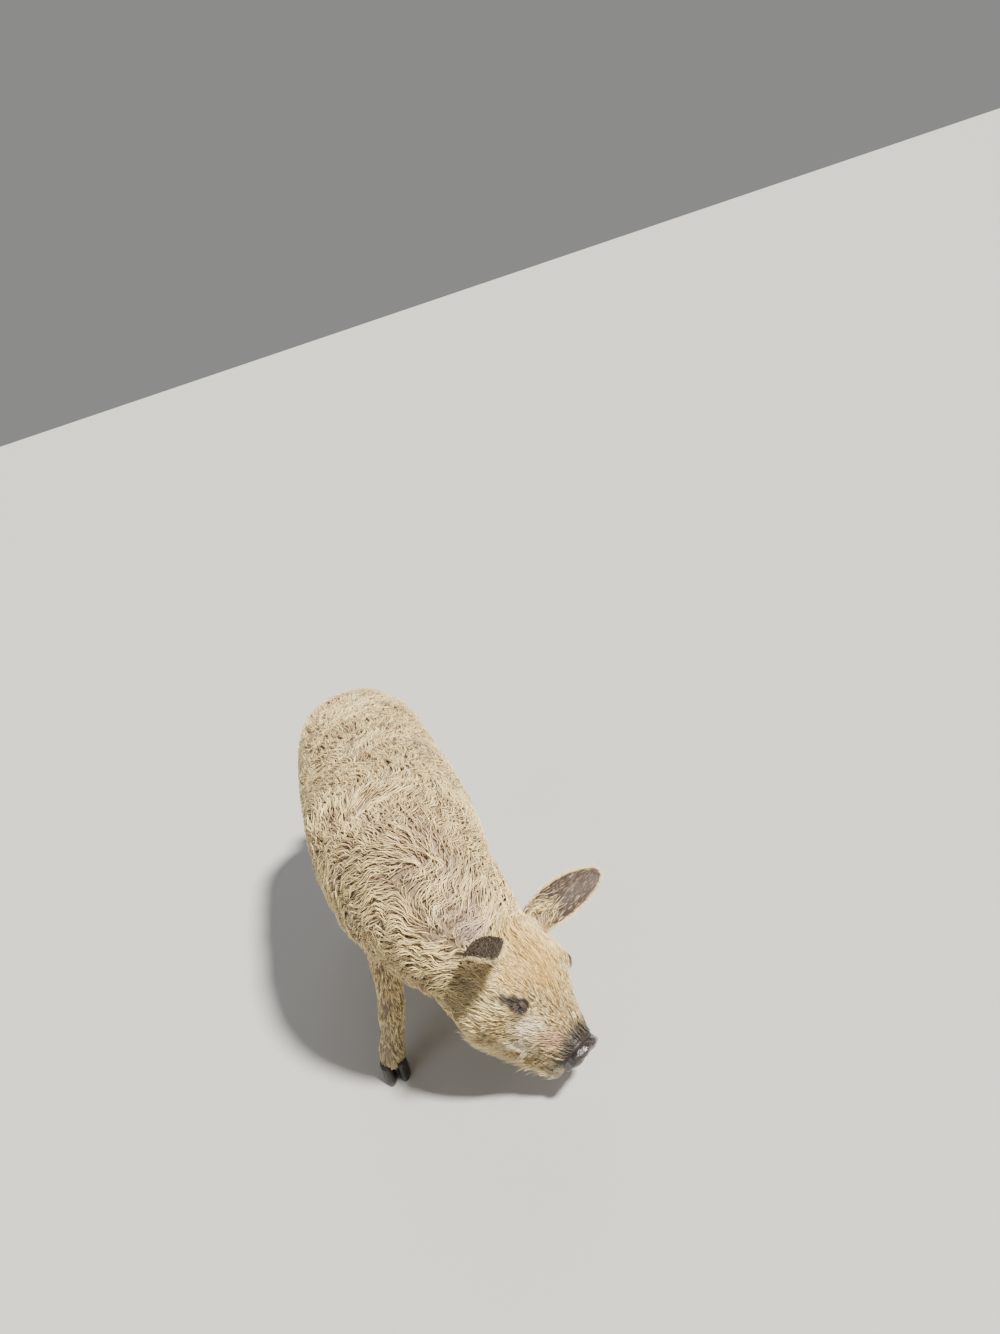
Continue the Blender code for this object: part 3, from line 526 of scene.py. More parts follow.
@dataclass
class LegPlan:
    """One leg: the side and the floor place of its foot, and its sections from the top down."""

    name: str
    which: int
    foot: tuple
    rows: tuple
    low_coat: float = 0.0018
    high_coat: float = 0.0082
    coat_thickens: tuple = (0.11, 0.23)

    def middle(self, height: np.ndarray) -> np.ndarray:
        """Give the leg's middle at some heights."""
        table = np.array(self.rows)[::-1]
        out, back = (np.interp(height, table[:, 2], table[:, column]) for column in (0, 1))
        return np.stack([self.which * (self.foot[0] + out) - MIDDLE[0], self.foot[1] + back - MIDDLE[1],
                         np.asarray(height, float)], axis=-1)

    def rings(self) -> np.ndarray:
        """Lay out the leg's rings inside its coat."""
        rings = []
        for out, back, height, half_width, half_length in smooth_rows(self.rows, 64):
            centre = np.array([self.which * (self.foot[0] + out), self.foot[1] + back, height]) - MIDDLE
            depth = self.low_coat + self.high_coat * float(share(height, *self.coat_thickens))
            sizes = (half_width - depth, half_length - depth, half_length - depth)
            rings.append(oval(centre, np.array([1.0, 0, 0]), np.array([0, 1.0, 0]), sizes, 40, 2.0))
        return np.array(rings)


FORELEG_ROWS = (
    (-0.058, 0.066, 0.300, 0.036, 0.060),
    (-0.056, 0.064, 0.240, 0.037, 0.054),
    (-0.050, 0.052, 0.196, 0.032, 0.042),
    (-0.042, 0.036, 0.154, 0.0255, 0.031),
    (-0.034, 0.024, 0.122, 0.0225, 0.0250),
    (-0.028, 0.020, 0.102, 0.0230, 0.0240),
    (-0.019, 0.016, 0.074, 0.0190, 0.0195),
    (-0.009, 0.013, 0.050, 0.0205, 0.0215),
    (0.000, 0.004, 0.020, 0.0190, 0.0205),
)
HINDLEG_ROWS = (
    (-0.042, -0.034, 0.320, 0.044, 0.066),
    (-0.024, -0.028, 0.250, 0.047, 0.074),
    (-0.010, -0.018, 0.200, 0.038, 0.060),
    (-0.003, 0.006, 0.158, 0.0270, 0.038),
    (0.000, 0.030, 0.124, 0.0200, 0.0290),
    (0.000, 0.028, 0.088, 0.0175, 0.0205),
    (0.000, 0.016, 0.052, 0.0200, 0.0210),
    (0.000, 0.004, 0.020, 0.0190, 0.0205),
)
LEGS = (
    LegPlan("foreleg_right", -1, (0.116, -0.040), FORELEG_ROWS),
    LegPlan("foreleg_left", 1, (0.116, 0.006), FORELEG_ROWS),
    LegPlan("hindleg_right", -1, (0.094, 0.500), HINDLEG_ROWS),
    LegPlan("hindleg_left", 1, (0.094, 0.524), HINDLEG_ROWS),
)


# The heights between which the legs are looked for, and how near to one's middle a point belongs to it.
LEG_HEIGHTS = (0.02, 0.30)
LEG_REACH = (0.085, 0.060)


def near_legs(points: np.ndarray) -> np.ndarray:
    """Tell how surely each point belongs to a leg, from 0 to 1, by how near it is to one's middle."""
    heights = np.clip(points[:, 2], *LEG_HEIGHTS)
    gaps = [np.linalg.norm((leg.middle(heights) - points)[:, :2], axis=1) for leg in LEGS]
    return share(np.min(gaps, axis=0), *LEG_REACH)


@dataclass(frozen=True)
class Spot:
    """A marking or a patch of painted shade: a soft round patch of colour about a place."""

    centre: tuple
    inner: float
    outer: float
    colour: Colour
    strength: float
    breakup: float = 0.4


def head_spot(place: tuple, *look: object) -> Spot:
    """Make a spot whose place is given by the head's axes; the rest of its values follow."""
    return Spot(tuple(float(v) for v in HEAD.point(*place)), *look)


def on_both_sides(place: tuple, *look: object) -> tuple[Spot, Spot]:
    """Make a head spot and its mirror image, where the place given is on the right side."""
    mirrored = (place[0], -place[1], place[2])
    return head_spot(place, *look), head_spot(mirrored, *look)


OCHRE: Colour = (0.66, 0.44, 0.15)
ROSY: Colour = (0.58, 0.40, 0.32)
NOSE_SKIN: Colour = (0.020, 0.0145, 0.0145)
WHITE_HAIR: Colour = (0.96, 0.86, 0.66)
PINK: Colour = (0.46, 0.25, 0.19)
MAUVE: Colour = (0.42, 0.31, 0.31)
SOOT: Colour = (0.022, 0.016, 0.015)
GREY_BROWN: Colour = (0.17, 0.135, 0.11)
# The olive-brown below the ears is painted shade, where the ears' shadow falls.
UNDER_EAR_SHADE: Colour = (0.20, 0.145, 0.085)
MUD: Colour = (0.34, 0.31, 0.25)

# All markings of skin and hair, with the painted shade below the ears; those of the hidden side of the face
# mirror the ones seen.
MARKINGS_AND_SHADE = (
    head_spot((0.045, -0.012, 0.077), 0.018, 0.062, OCHRE, 0.84),
    head_spot((0.085, -0.008, 0.072), 0.018, 0.052, OCHRE, 0.78),
    *on_both_sides((0.064, -0.055, 0.058), 0.010, 0.036, OCHRE, 0.60),
    *on_both_sides((0.124, -0.058, 0.022), 0.006, 0.036, WHITE_HAIR, 0.66, 0.6),
    *on_both_sides((0.132, -0.054, -0.022), 0.008, 0.038, WHITE_HAIR, 0.55, 0.6),
    *on_both_sides((0.158, -0.040, 0.018), 0.003, 0.030, PINK, 0.74, 0.6),
    *on_both_sides((0.176, -0.024, 0.032), 0.006, 0.020, NOSE_SKIN, 0.72, 0.7),
    *on_both_sides((0.190, -0.027, 0.018), 0.011, 0.027, NOSE_SKIN, 0.92),
    *on_both_sides((0.192, -0.024, -0.014), 0.008, 0.020, NOSE_SKIN, 0.80),
    head_spot((0.188, 0.000, 0.034), 0.015, 0.033, NOSE_SKIN, 0.92),
    head_spot((0.186, 0.000, -0.050), 0.014, 0.034, WHITE_HAIR, 0.55),
    *on_both_sides((0.101, -0.070, 0.052), 0.008, 0.0140, SOOT, 0.95, 0.4),
    *on_both_sides((0.088, -0.076, 0.048), 0.008, 0.0145, SOOT, 0.94, 0.5),
    *on_both_sides((0.075, -0.080, 0.043), 0.006, 0.0140, SOOT, 0.90, 0.6),
    *on_both_sides((0.063, -0.083, 0.036), 0.003, 0.0130, SOOT, 0.78, 0.8),
    *on_both_sides((0.113, -0.064, 0.055), 0.005, 0.0120, SOOT, 0.86, 0.6),
    # Painted shade below each ear: skin and hair darkened where the ear's shadow falls.
    *on_both_sides((0.022, -0.084, 0.012), 0.008, 0.036, UNDER_EAR_SHADE, 0.66, 0.6),
    *on_both_sides((0.033, -0.086, -0.030), 0.006, 0.034, UNDER_EAR_SHADE, 0.56, 0.6),
    head_spot((-0.018, -0.065, 0.078), 0.008, 0.028, MAUVE, 0.52),
    head_spot((-0.012, 0.060, 0.078), 0.010, 0.036, MAUVE, 0.40),
    Spot((0.024, 0.002, 0.404), 0.006, 0.036, GREY_BROWN, 0.78, 1.0),
    Spot((0.046, -0.020, 0.392), 0.004, 0.026, GREY_BROWN, 0.62, 1.0),
    Spot((0.004, -0.372, 0.321), 0.016, 0.052, ROSY, 0.20, 0.6),
    Spot((-0.023, -0.271, 0.401), 0.020, 0.070, ROSY, 0.14, 0.6),
)


class Finish:
    """A node material in the making, with short ways to add and link its nodes."""

    def __init__(self, name: str) -> None:
        """Start a material with its shader and the piece's own coordinates."""
        self.material = bpy.data.materials.new(name)
        self.material.use_nodes = True
        self.nodes = self.material.node_tree.nodes
        self.links = self.material.node_tree.links
        self.shader = self.nodes["Principled BSDF"]
        self.place = self.nodes.new("ShaderNodeTexCoord").outputs["Object"]

    def node(self, kind: str, **values: object) -> bpy.types.Node:
        """Add a node; values whose names are sockets, with _ for a space, are set or linked.

        Args:
            kind: The node's type.
            values: Its properties and inputs.

        Returns:
            The new node.
        """
        made = self.nodes.new(kind)
        for name, value in values.items():
            socket = name.replace("_", " ")
            if name[0].isupper() and socket in made.inputs:
                self.give(made.inputs[socket], value)
            else:
                setattr(made, name, value)
        return made

    def give(self, socket: bpy.types.NodeSocket, value: object) -> None:
        """Link a socket to another one, or set its value."""
        if isinstance(value, bpy.types.NodeSocket):
            self.links.new(value, socket)
        elif isinstance(value, tuple) and len(value) == 3 and socket.type == "RGBA":
            socket.default_value = (*value, 1.0)
        else:
            socket.default_value = value

    def noise(self, scale: float, detail: float = 3.0, roughness: float = 0.55,
              place: bpy.types.NodeSocket | None = None) -> bpy.types.NodeSocket:
        """Add a noise pattern and give its value."""
        made = self.node("ShaderNodeTexNoise", Scale=scale, Detail=detail, Roughness=roughness)
        self.links.new(place or self.place, made.inputs["Vector"])
        return made.outputs["Fac"]

    def ranged(self, value: bpy.types.NodeSocket, low: float, high: float, start: float = 0.0,
               end: float = 1.0) -> bpy.types.NodeSocket:
        """Map a value's range to another one, clamped and eased."""
        made = self.node("ShaderNodeMapRange", interpolation_type="SMOOTHSTEP")
        for socket, number in (("From Min", low), ("From Max", high), ("To Min", start), ("To Max", end)):
            made.inputs[socket].default_value = number
        self.links.new(value, made.inputs["Value"])
        return made.outputs["Result"]

    def sum(self, kind: str, first: object, second: object) -> bpy.types.NodeSocket:
        """Work out one value from two."""
        made = self.node("ShaderNodeMath", operation=kind)
        self.give(made.inputs[0], first)
        self.give(made.inputs[1], second)
        return made.outputs[0]

    def mix(self, amount: object, first: object, second: object) -> bpy.types.NodeSocket:
        """Mix two colours."""
        made = self.node("ShaderNodeMix", data_type="RGBA")
        self.give(made.inputs[0], amount)
        self.give(made.inputs[6], first)
        self.give(made.inputs[7], second)
        return made.outputs[2]

    def distance(self, centre: Sequence[float]) -> bpy.types.NodeSocket:
        """Measure how far each point lies from a place."""
        made = self.node("ShaderNodeVectorMath", operation="DISTANCE")
        self.links.new(self.place, made.inputs[0])
        made.inputs[1].default_value = tuple(centre)
        return made.outputs["Value"]

    def height(self) -> bpy.types.NodeSocket:
        """Give each point's height over the floor."""
        made = self.node("ShaderNodeSeparateXYZ")
        self.links.new(self.place, made.inputs[0])
        return made.outputs["Z"]

    def marked(self, colour: object, scale: float = 1.0) -> bpy.types.NodeSocket:
        """Lay all the animal's markings, with the painted shade below its ears, over a colour.

        Args:
            colour: The colour under them.
            scale: How strong they are here.

        Returns:
            The marked colour.
        """
        ragged = self.noise(70.0, 2.0)
        for spot in MARKINGS_AND_SHADE:
            far = self.distance(spot.centre)
            wander = self.sum("MULTIPLY_ADD", ragged, spot.outer * spot.breakup)
            self.links.new(far, wander.node.inputs[2])
            whole, none = spot.inner * (1 + spot.breakup), spot.outer * (1 + spot.breakup / 2)
            amount = self.ranged(wander, whole, none, spot.strength * scale, 0.0)
            colour = self.mix(amount, colour, spot.colour)
        low = self.ranged(self.height(), 0.05, 0.17, 0.22 * scale, 0.0)
        return self.mix(low, colour, MUD)

    def bump(self, value: bpy.types.NodeSocket, strength: float, depth: float,
             under: bpy.types.NodeSocket | None = None) -> bpy.types.NodeSocket:
        """Raise the surface by a pattern, over another bump if there is one."""
        made = self.node("ShaderNodeBump", Strength=strength, Distance=depth)
        self.links.new(value, made.inputs["Height"])
        if under:
            self.links.new(under, made.inputs["Normal"])
        return made.outputs["Normal"]

    def dress(self, **values: object) -> bpy.types.Material:
        """Set or link the shader's sockets and give the finished material."""
        for name, value in values.items():
            self.give(self.shader.inputs[name.replace("_", " ")], value)
        return self.material


@dataclass(frozen=True)
class SkinFinish:
    """Pinkish-grey skin with pores and fine creases, marked as the coat is, with its own ear colours, dark
    lid rims and painted shade along the mouth line.
    """

    base: Colour = (0.240, 0.170, 0.108)
    deep: Colour = (0.155, 0.106, 0.066)
    ear_inside: Colour = (0.034, 0.021, 0.020)
    ear_outside: Colour = (0.026, 0.020, 0.017)
    # The mouth colour is painted shade in the mouth crease, and also the lids' own dark rims.
    mouth: Colour = (0.030, 0.020, 0.020)
    roughness: float = 0.58
    wet: float = 0.40

    def make(self) -> bpy.types.Material:
        """Build the material."""
        finish = Finish("skin_finish")
        patches = finish.ranged(finish.noise(28.0, 4.0), 0.35, 0.65)
        colour = finish.marked(finish.mix(patches, self.deep, self.base), 0.9)
        # The mouth layer is painted shade in the mouth crease, and the lids' own dark rims.
        tones = (("inner_ear", self.ear_inside), ("outer_ear", self.ear_outside), ("mouth", self.mouth))
        for name, tone in tones:
            amount = finish.node("ShaderNodeAttribute", attribute_name=name).outputs["Fac"]
            colour = finish.mix(amount, colour, tone)
        creases = finish.bump(finish.noise(420.0, 4.0, 0.65), 0.35, 0.0012)
        normal = finish.bump(finish.noise(1500.0, 2.0), 0.25, 0.0005, creases)
        nose = finish.distance(tuple(float(v) for v in HEAD.point(0.200, 0.0, 0.004)))
        colour = finish.mix(finish.ranged(nose, 0.036, 0.043, 0.94, 0.0), colour, NOSE_SKIN)
        shine = finish.ranged(nose, 0.034, 0.046, self.wet, self.roughness)
        return finish.dress(Base_Color=colour, Roughness=shine, Normal=normal, Specular_IOR_Level=0.22,
                            Subsurface_Weight=0.08, Subsurface_Scale=0.006)


@dataclass(frozen=True)
class HairFinish:
    """Cream hair: darker and greyer at the root, pale at the tip, each lock a little different."""

    name: str
    root: Colour
    tip: Colour
    dull: Colour
    warm: Colour
    pale: Colour = (0.98, 0.85, 0.51)
    marks: float = 1.0
    gloss: float = 0.36
    sheen: float = 0.08
    start: float = 0.0

    def make(self) -> bpy.types.Material:
        """Build the material."""
        finish = Finish(self.name)
        along = finish.node("ShaderNodeAttribute", attribute_name="along").outputs["Fac"]
        shade = finish.node("ShaderNodeAttribute", attribute_name="shade").outputs["Fac"]
        colour = finish.mix(finish.ranged(along, self.start, self.start + 0.62), self.root, self.tip)
        stained = finish.ranged(finish.noise(13.0, 3.0), 0.46, 0.74, 0.0, 0.55)
        colour = finish.mix(stained, colour, self.dull)
        colour = finish.mix(finish.ranged(shade, 0.58, 0.95, 0.0, 0.62), colour, self.warm)
        pale = finish.ranged(shade, 0.0, 0.34, 0.80, 0.0)
        colour = finish.mix(pale, colour, self.pale)
        streaks = finish.ranged(finish.noise(330.0, 2.0), 0.50, 0.68, 0.0, 0.50)
        colour = finish.marked(finish.mix(streaks, colour, self.root), self.marks)
        return finish.dress(Base_Color=colour, Roughness=0.50, Specular_IOR_Level=self.gloss,
                            Sheen_Weight=self.sheen, Sheen_Roughness=0.5)


@dataclass(frozen=True)
class NoseFinish:
    """Wet, nearly black nose with fine pits, paler where it is scuffed."""

    base: Colour = (0.009, 0.007, 0.007)
    worn: Colour = (0.060, 0.045, 0.042)

    def make(self) -> bpy.types.Material:
        """Build the material."""
        finish = Finish("nose_finish")
        patches = finish.ranged(finish.noise(120.0, 4.0), 0.42, 0.72)
        colour = finish.mix(patches, self.base, self.worn)
        cells = finish.node("ShaderNodeTexVoronoi", Scale=620.0)
        finish.links.new(finish.place, cells.inputs["Vector"])
        pits = finish.bump(cells.outputs["Distance"], 0.5, 0.0009)
        normal = finish.bump(finish.noise(260.0, 3.0), 0.35, 0.0012, pits)
        wet = finish.ranged(finish.noise(90.0, 2.0), 0.35, 0.7, 0.16, 0.45)
        return finish.dress(Base_Color=colour, Roughness=wet, Normal=normal, Coat_Weight=0.5,
                            Coat_Roughness=0.12)


@dataclass(frozen=True)
class HoofFinish:
    """Black horn with growth rings, paler streaks and a dull, scuffed sole edge."""

    base: Colour = (0.022, 0.020, 0.019)
    streak: Colour = (0.17, 0.145, 0.115)

    def make(self) -> bpy.types.Material:
        """Build the material."""
        finish = Finish("hoof_finish")
        high = finish.height()
        rings = finish.sum("SINE", finish.sum("MULTIPLY", high, 2600.0), 0.0)
        ragged = finish.sum("MULTIPLY", rings, finish.noise(160.0))
        stretch = finish.node("ShaderNodeMapping")
        stretch.inputs["Scale"].default_value = (1.0, 1.0, 0.12)
        finish.links.new(finish.place, stretch.inputs["Vector"])
        streaks = finish.ranged(finish.noise(240.0, 3.0, 0.6, stretch.outputs[0]), 0.55, 0.75, 0.0, 0.7)
        colour = finish.mix(streaks, self.base, self.streak)
        colour = finish.mix(finish.ranged(high, 0.0, 0.009, 0.20, 0.0), colour, MUD)
        normal = finish.bump(ragged, 0.35, 0.0008, finish.bump(streaks, 0.2, 0.0006))
        return finish.dress(Base_Color=colour, Roughness=0.36, Normal=normal)


@dataclass(frozen=True)
class EyeFinish:
    """A dark brown eye: level oval pupil, streaked iris, dark rim and a wet surface."""

    name: str
    centre: tuple
    along: tuple
    pupil: Colour = (0.004, 0.004, 0.005)
    iris: Colour = (0.018, 0.009, 0.005)
    light: Colour = (0.050, 0.024, 0.011)
    white: Colour = (0.080, 0.052, 0.044)

    def make(self) -> bpy.types.Material:
        """Build the material."""
        finish = Finish(self.name)
        far = finish.distance(self.centre)
        level = finish.node("ShaderNodeVectorMath", operation="SUBTRACT")
        finish.links.new(finish.place, level.inputs[0])
        level.inputs[1].default_value = self.centre
        lengthwise = finish.node("ShaderNodeVectorMath", operation="DOT_PRODUCT")
        finish.links.new(level.outputs[0], lengthwise.inputs[0])
        lengthwise.inputs[1].default_value = self.along
        narrow = finish.sum("MULTIPLY", finish.sum("ABSOLUTE", lengthwise.outputs["Value"], 0.0), 0.35)
        pupil = finish.sum("SUBTRACT", far, narrow)
        streaks = finish.noise(900.0, 2.0)
        colour = finish.mix(finish.ranged(streaks, 0.35, 0.65), self.iris, self.light)
        colour = finish.mix(finish.ranged(far, 0.0050, 0.0066), colour, self.pupil)
        colour = finish.mix(finish.ranged(far, 0.0069, 0.0078), colour, self.white)
        colour = finish.mix(finish.ranged(pupil, 0.0020, 0.0026, 1.0, 0.0), colour, self.pupil)
        return finish.dress(Base_Color=colour, Roughness=0.12, Coat_Weight=0.6, Coat_Roughness=0.03)


@dataclass(frozen=True)
class FloorFinish:
    """A plain pale studio floor."""

    colour: Colour = (0.42, 0.415, 0.405)

    def make(self) -> bpy.types.Material:
        """Build the material."""
        finish = Finish("floor_finish")
        tone = finish.mix(finish.noise(6.0), self.colour, tuple(v * 0.97 for v in self.colour))
        return finish.dress(Base_Color=tone, Roughness=0.75)


def eye_frame(which: int) -> tuple[np.ndarray, np.ndarray, np.ndarray, np.ndarray]:
    """Find one eye's centre, the way it looks, the way along its slit and the way across it."""
    ahead, aside, over = HEAD.eye_place
    centre = HEAD.point(ahead, which * aside, over)
    look = unit(HEAD.way(HEAD.eye_look[0], which * HEAD.eye_look[1], HEAD.eye_look[2]))
    along = HEAD.way(1, 0, -0.25)
    along = unit(along - look * along.dot(look))
    return centre, look, along, np.cross(look, along) * which


def by_eye(places: np.ndarray, which: int) -> np.ndarray:
    """Give places by one eye's axes, in three rows: along its slit, across it and out of the head."""
    centre, look, along, upward = eye_frame(which)
    return ((places - centre) @ np.array([along, upward, look]).T).T


@dataclass
class Skin:
    """The whole skin in one piece, under the coat: trunk, head, legs, tail and ears, with folds and lids."""

    voxel: float = 0.0026
    smoothing: int = 9
    body_share: float = 0.24
    pocket: tuple = (0.0150, 0.0112)
    pocket_depth: float = 0.45
    slit: tuple = (0.0094, 0.0028)
    lid_steps: tuple = (
        (0.96, -0.0006),
        (0.97, 0.0002),
        (1.00, 0.0010),
        (1.06, 0.0017),
        (1.14, 0.0018),
        (1.22, 0.0013),
        (1.30, 0.0012),
        (1.40, 0.0018),
    )
    mouth_crease: tuple = (-0.0034, 0.0019)
    lip_roll: tuple = (0.0008, 0.0056, 0.0032)
    nose_wrinkles: tuple = (-0.0007, 0.0072)
    neck_folds: tuple = (-0.0016, 0.030)
    ear_reach: tuple = (0.0065, 0.0040)
    ear_start: tuple = (0.018, 0.040)
    # Where the painted shade along the mouth line starts and where it is full.
    mouth_line: tuple = (0.0024, 0.0007)
    eye_rim: tuple = (0.0145, 0.0074)
    paint_strength: float = 0.92
    root_reach: float = 0.034
    coat_end: float = 0.035
    face_start: float = 0.070

    def build(self) -> bpy.types.Object:
        """Make the skin with all its details.

        Returns:
            The finished piece.
        """
        skin = self.flesh()
        self.add_ears(skin)
        self.refine(skin)
        self.fold(skin)
        surface = BVHTree.FromObject(skin, bpy.context.evaluated_depsgraph_get())
        skin = Bench.join("skin", [skin] + [self.lids(which, surface) for which in (-1, 1)])
        self.paint(skin)
        Bench.smooth(skin)
        return skin

    def paint(self, skin: bpy.types.Object) -> None:
        """Note at each corner how much it belongs to an ear's two faces, to the painted shade along the mouth
        line and to the dark rims of the lids.
        """
        places, normals = Bench.corners(skin), Bench.normals(skin)
        nearer = nearer_ear(places)
        starts = np.array([plan.middle(0.0)[0] for plan in EARS])[nearer]
        faces = np.array([plan.facing() for plan in EARS])[nearer]
        near = share(ear_distance(places), *self.ear_reach)
        near = near * share(np.linalg.norm(places - starts, axis=1), *self.ear_start)
        facing = share(np.sum(normals * faces, axis=1), -0.15, 0.15)
        ahead, aside, over = HEAD.seen(places).T
        beside = (np.abs(aside) > 0.006) & (np.abs(aside) < 0.08) & (ahead > 0.09)
        # Painted shade: the skin is darkened along the mouth crease; the lids' rims below are darkened as
        # their own dark skin.
        dark = share(mouth_distance(ahead, over), *self.mouth_line) * beside * 0.8
        for which in (-1, 1):
            level, high, out = by_eye(places, which)
            rim = np.hypot(level / self.eye_rim[0], high / self.eye_rim[1])
            dark = np.maximum(dark, share(rim, 1.20, 0.70) * (out > 0))
        layers = {"inner_ear": near * facing, "outer_ear": near * (1 - facing), "mouth": dark}
        for name, values in layers.items():
            Bench.note(skin, name, values * self.paint_strength)

    def flesh(self) -> bpy.types.Object:
        """Fuse trunk, head, jaw, lips, legs and tail into one smooth closed body."""
        head = []
        for row in smooth_rows(HEAD.skull, 70):
            row[1:] -= HEAD.coat_depth(row[0])
            head.append(oval(HEAD.point(row[0], 0, 0), HEAD.side, HEAD.top, row[1:], 56))
        jaw = []
        for row in smooth_rows(HEAD.jaw, 40):
            row[1:4] = np.maximum(row[1:4] - 0.0022, row[1:4] * 0.5)
            jaw.append(oval(HEAD.point(row[0], 0, -row[4]), HEAD.side, HEAD.top, row[1:4], 32))
        pieces = [Bench.loft("trunk", TRUNK.rings()), Bench.loft("skull", np.array(head)),
                  Bench.loft("jaw", np.array(jaw))]
        count = 60
        radii = np.linspace(*TRUNK.tail_radii, count)
        pieces.append(Bench.loft("tail", tube_rings(TRUNK.tail_line(count), radii, 20)))
        pieces += [Bench.loft(leg.name, leg.rings()) for leg in LEGS]
        for which in (-1, 1):
            for ahead, aside, over, radius in HEAD.swellings:
                pieces.append(Bench.ball("swelling", HEAD.point(ahead, which * aside, over), radius - 0.004))
            pieces += [self.lip(which, place, pieces[1 if place > 0 else 2]) for place in (1, -1)]
            pieces.append(Bench.ball("lid", eye_frame(which)[0], HEAD.eye_radius + 0.0016))
        skin = Bench.join("skin", pieces)
        Bench.modify(skin, "REMESH", mode="VOXEL", voxel_size=self.voxel)
        Bench.modify(skin, "SMOOTH", factor=0.5, iterations=self.smoothing)
        return skin

    def lip(self, which: int, place: int, carrier: bpy.types.Object) -> bpy.types.Object:
        """Lay the soft roll of one lip along one side of the mouth."""
        surface = BVHTree.FromObject(carrier, bpy.context.evaluated_depsgraph_get())
        points = []
        for ahead, over in smooth_rows(HEAD.mouth[1:], 16):
            start = HEAD.point(ahead, which * 0.15, over + place * HEAD.lip_offset)
            hit = surface.ray_cast(Vector(start), Vector(HEAD.side * -which), 0.15)[0]
            skin_point = np.array(hit) if hit else HEAD.point(ahead, 0, over)
            points.append(skin_point - HEAD.side * which * 0.0026)
        return Bench.loft("lip", tube_rings(np.array(points), [HEAD.lip_radius] * len(points), 16))

    def add_ears(self, skin: bpy.types.Object) -> None:
        """Grow the two ears out of the head and soften where they join it."""
        ears = bpy.data.collections.new("ears")
        for plan in EARS:
            leaf = Bench.loft(plan.name + "_leaf", plan.leaf(44, 24), closed=False)
            Bench.modify(leaf, "SOLIDIFY", thickness=plan.thickness, offset=0.0)
            Bench.modify(leaf, "SUBSURF", levels=1, render_levels=1)
            ears.objects.link(leaf)
        Bench.modify(skin, "BOOLEAN", operation="UNION", operand_type="COLLECTION", collection=ears,
                     solver="MANIFOLD")
        for leaf in list(ears.objects):
            bpy.data.objects.remove(leaf, do_unlink=True)
        bpy.data.collections.remove(ears)
        places = Bench.corners(skin)
        near = np.zeros(len(places), bool)
        for plan in EARS:
            near |= np.linalg.norm(places - plan.middle(0.06)[0], axis=1) < self.root_reach
        Bench.modify(skin, "SMOOTH", factor=0.5, iterations=5, vertex_group=Bench.mark(skin, "roots", near))

    def refine(self, skin: bpy.types.Object) -> None:
        """Make the faces coarser under the long coat and finer on the face."""
        places = Bench.corners(skin)
        seen = HEAD.seen(places)
        plain = (seen[:, 0] < self.coat_end) & ~self.on_ears(places, 0.0) & (places[:, 2] > 0.05)
        Bench.modify(skin, "DECIMATE", ratio=self.body_share, vertex_group=Bench.mark(skin, "plain", plain))
        Bench.choose(skin)
        places = Bench.corners(skin)
        seen = HEAD.seen(places)
        face = (seen[:, 0] > self.face_start) & (np.abs(seen[:, 1]) < 0.11) & ~self.on_ears(places, 0.02)
        chosen = np.array([all(face[v] for v in polygon.vertices) for polygon in skin.data.polygons])
        bpy.ops.object.mode_set(mode="EDIT")
        bpy.ops.mesh.select_all(action="DESELECT")
        bpy.ops.mesh.select_mode(type="FACE")
        bpy.ops.object.mode_set(mode="OBJECT")
        skin.data.polygons.foreach_set("select", chosen)
        bpy.ops.object.mode_set(mode="EDIT")
        bpy.ops.mesh.subdivide(number_cuts=1, smoothness=0.0)
        bpy.ops.object.mode_set(mode="OBJECT")
        group = Bench.mark(skin, "face", HEAD.seen(Bench.corners(skin))[:, 0] > 0.068)
        Bench.modify(skin, "SMOOTH", factor=0.5, iterations=2, vertex_group=group)

    @staticmethod
    def on_ears(places: np.ndarray, past: float) -> np.ndarray:
        """Tell which places lie on an ear, from a distance past its root."""
        found = ear_distance(places) < 0.0048
        for plan in EARS:
            found &= np.linalg.norm(places - plan.middle(0.0)[0], axis=1) > 0.024 + past
        return found

    def fold(self, skin: bpy.types.Object) -> None:
        """Press the mouth line, nose wrinkles, lid pockets and soft folds into the skin."""
        places, normals = Bench.corners(skin), Bench.normals(skin)
        ahead, aside, over = HEAD.seen(places).T
        near = mouth_distance(ahead, over)
        beside = share(np.abs(aside), 0.006, 0.012) * (ahead > 0.09) * (ahead < 0.205)
        depth, width = self.mouth_crease
        lift = depth * np.exp(-((near / width) ** 2)) * beside
        height, start, width = self.lip_roll
        lift += height * np.exp(-(((near - start) / width) ** 2)) * beside
        across = share(ahead, 0.132, 0.165) * (1 - share(ahead, 0.186, 0.196)) * share(over, -0.012, 0.012)
        crumple = swell(places, 0.02, 5)
        depth, width = self.nose_wrinkles
        lift += depth * across * (0.5 + 0.5 * np.cos(ahead * 2 * math.pi / width + crumple * 1.2))
        body = share(ahead, 0.10, 0.0)
        lift += 0.0012 * body * swell(places, 0.09, 6) + 0.0004 * swell(places, 0.016, 7) * (ahead > 0.02)
        neck = share(ahead, -0.13, -0.08) * share(ahead, 0.03, -0.02)
        depth, width = self.neck_folds
        lift += depth * neck * (0.5 + 0.5 * np.cos(ahead * 2 * math.pi / width)) ** 3
        places = places + normals * (lift * (1 - 0.8 * self.on_ears(places, 0.0)))[:, None]
        for which in (-1, 1):
            level, high, out = by_eye(places, which)
            inside = np.hypot(level / self.pocket[0], high / self.pocket[1])
            amount = (1 - share(inside, 0.80, 1.0)) * (out > 0)
            sunk = np.minimum(out, HEAD.eye_radius * self.pocket_depth)
            places = places + eye_frame(which)[1] * ((sunk - out) * amount)[:, None]
        Bench.place(skin, places)

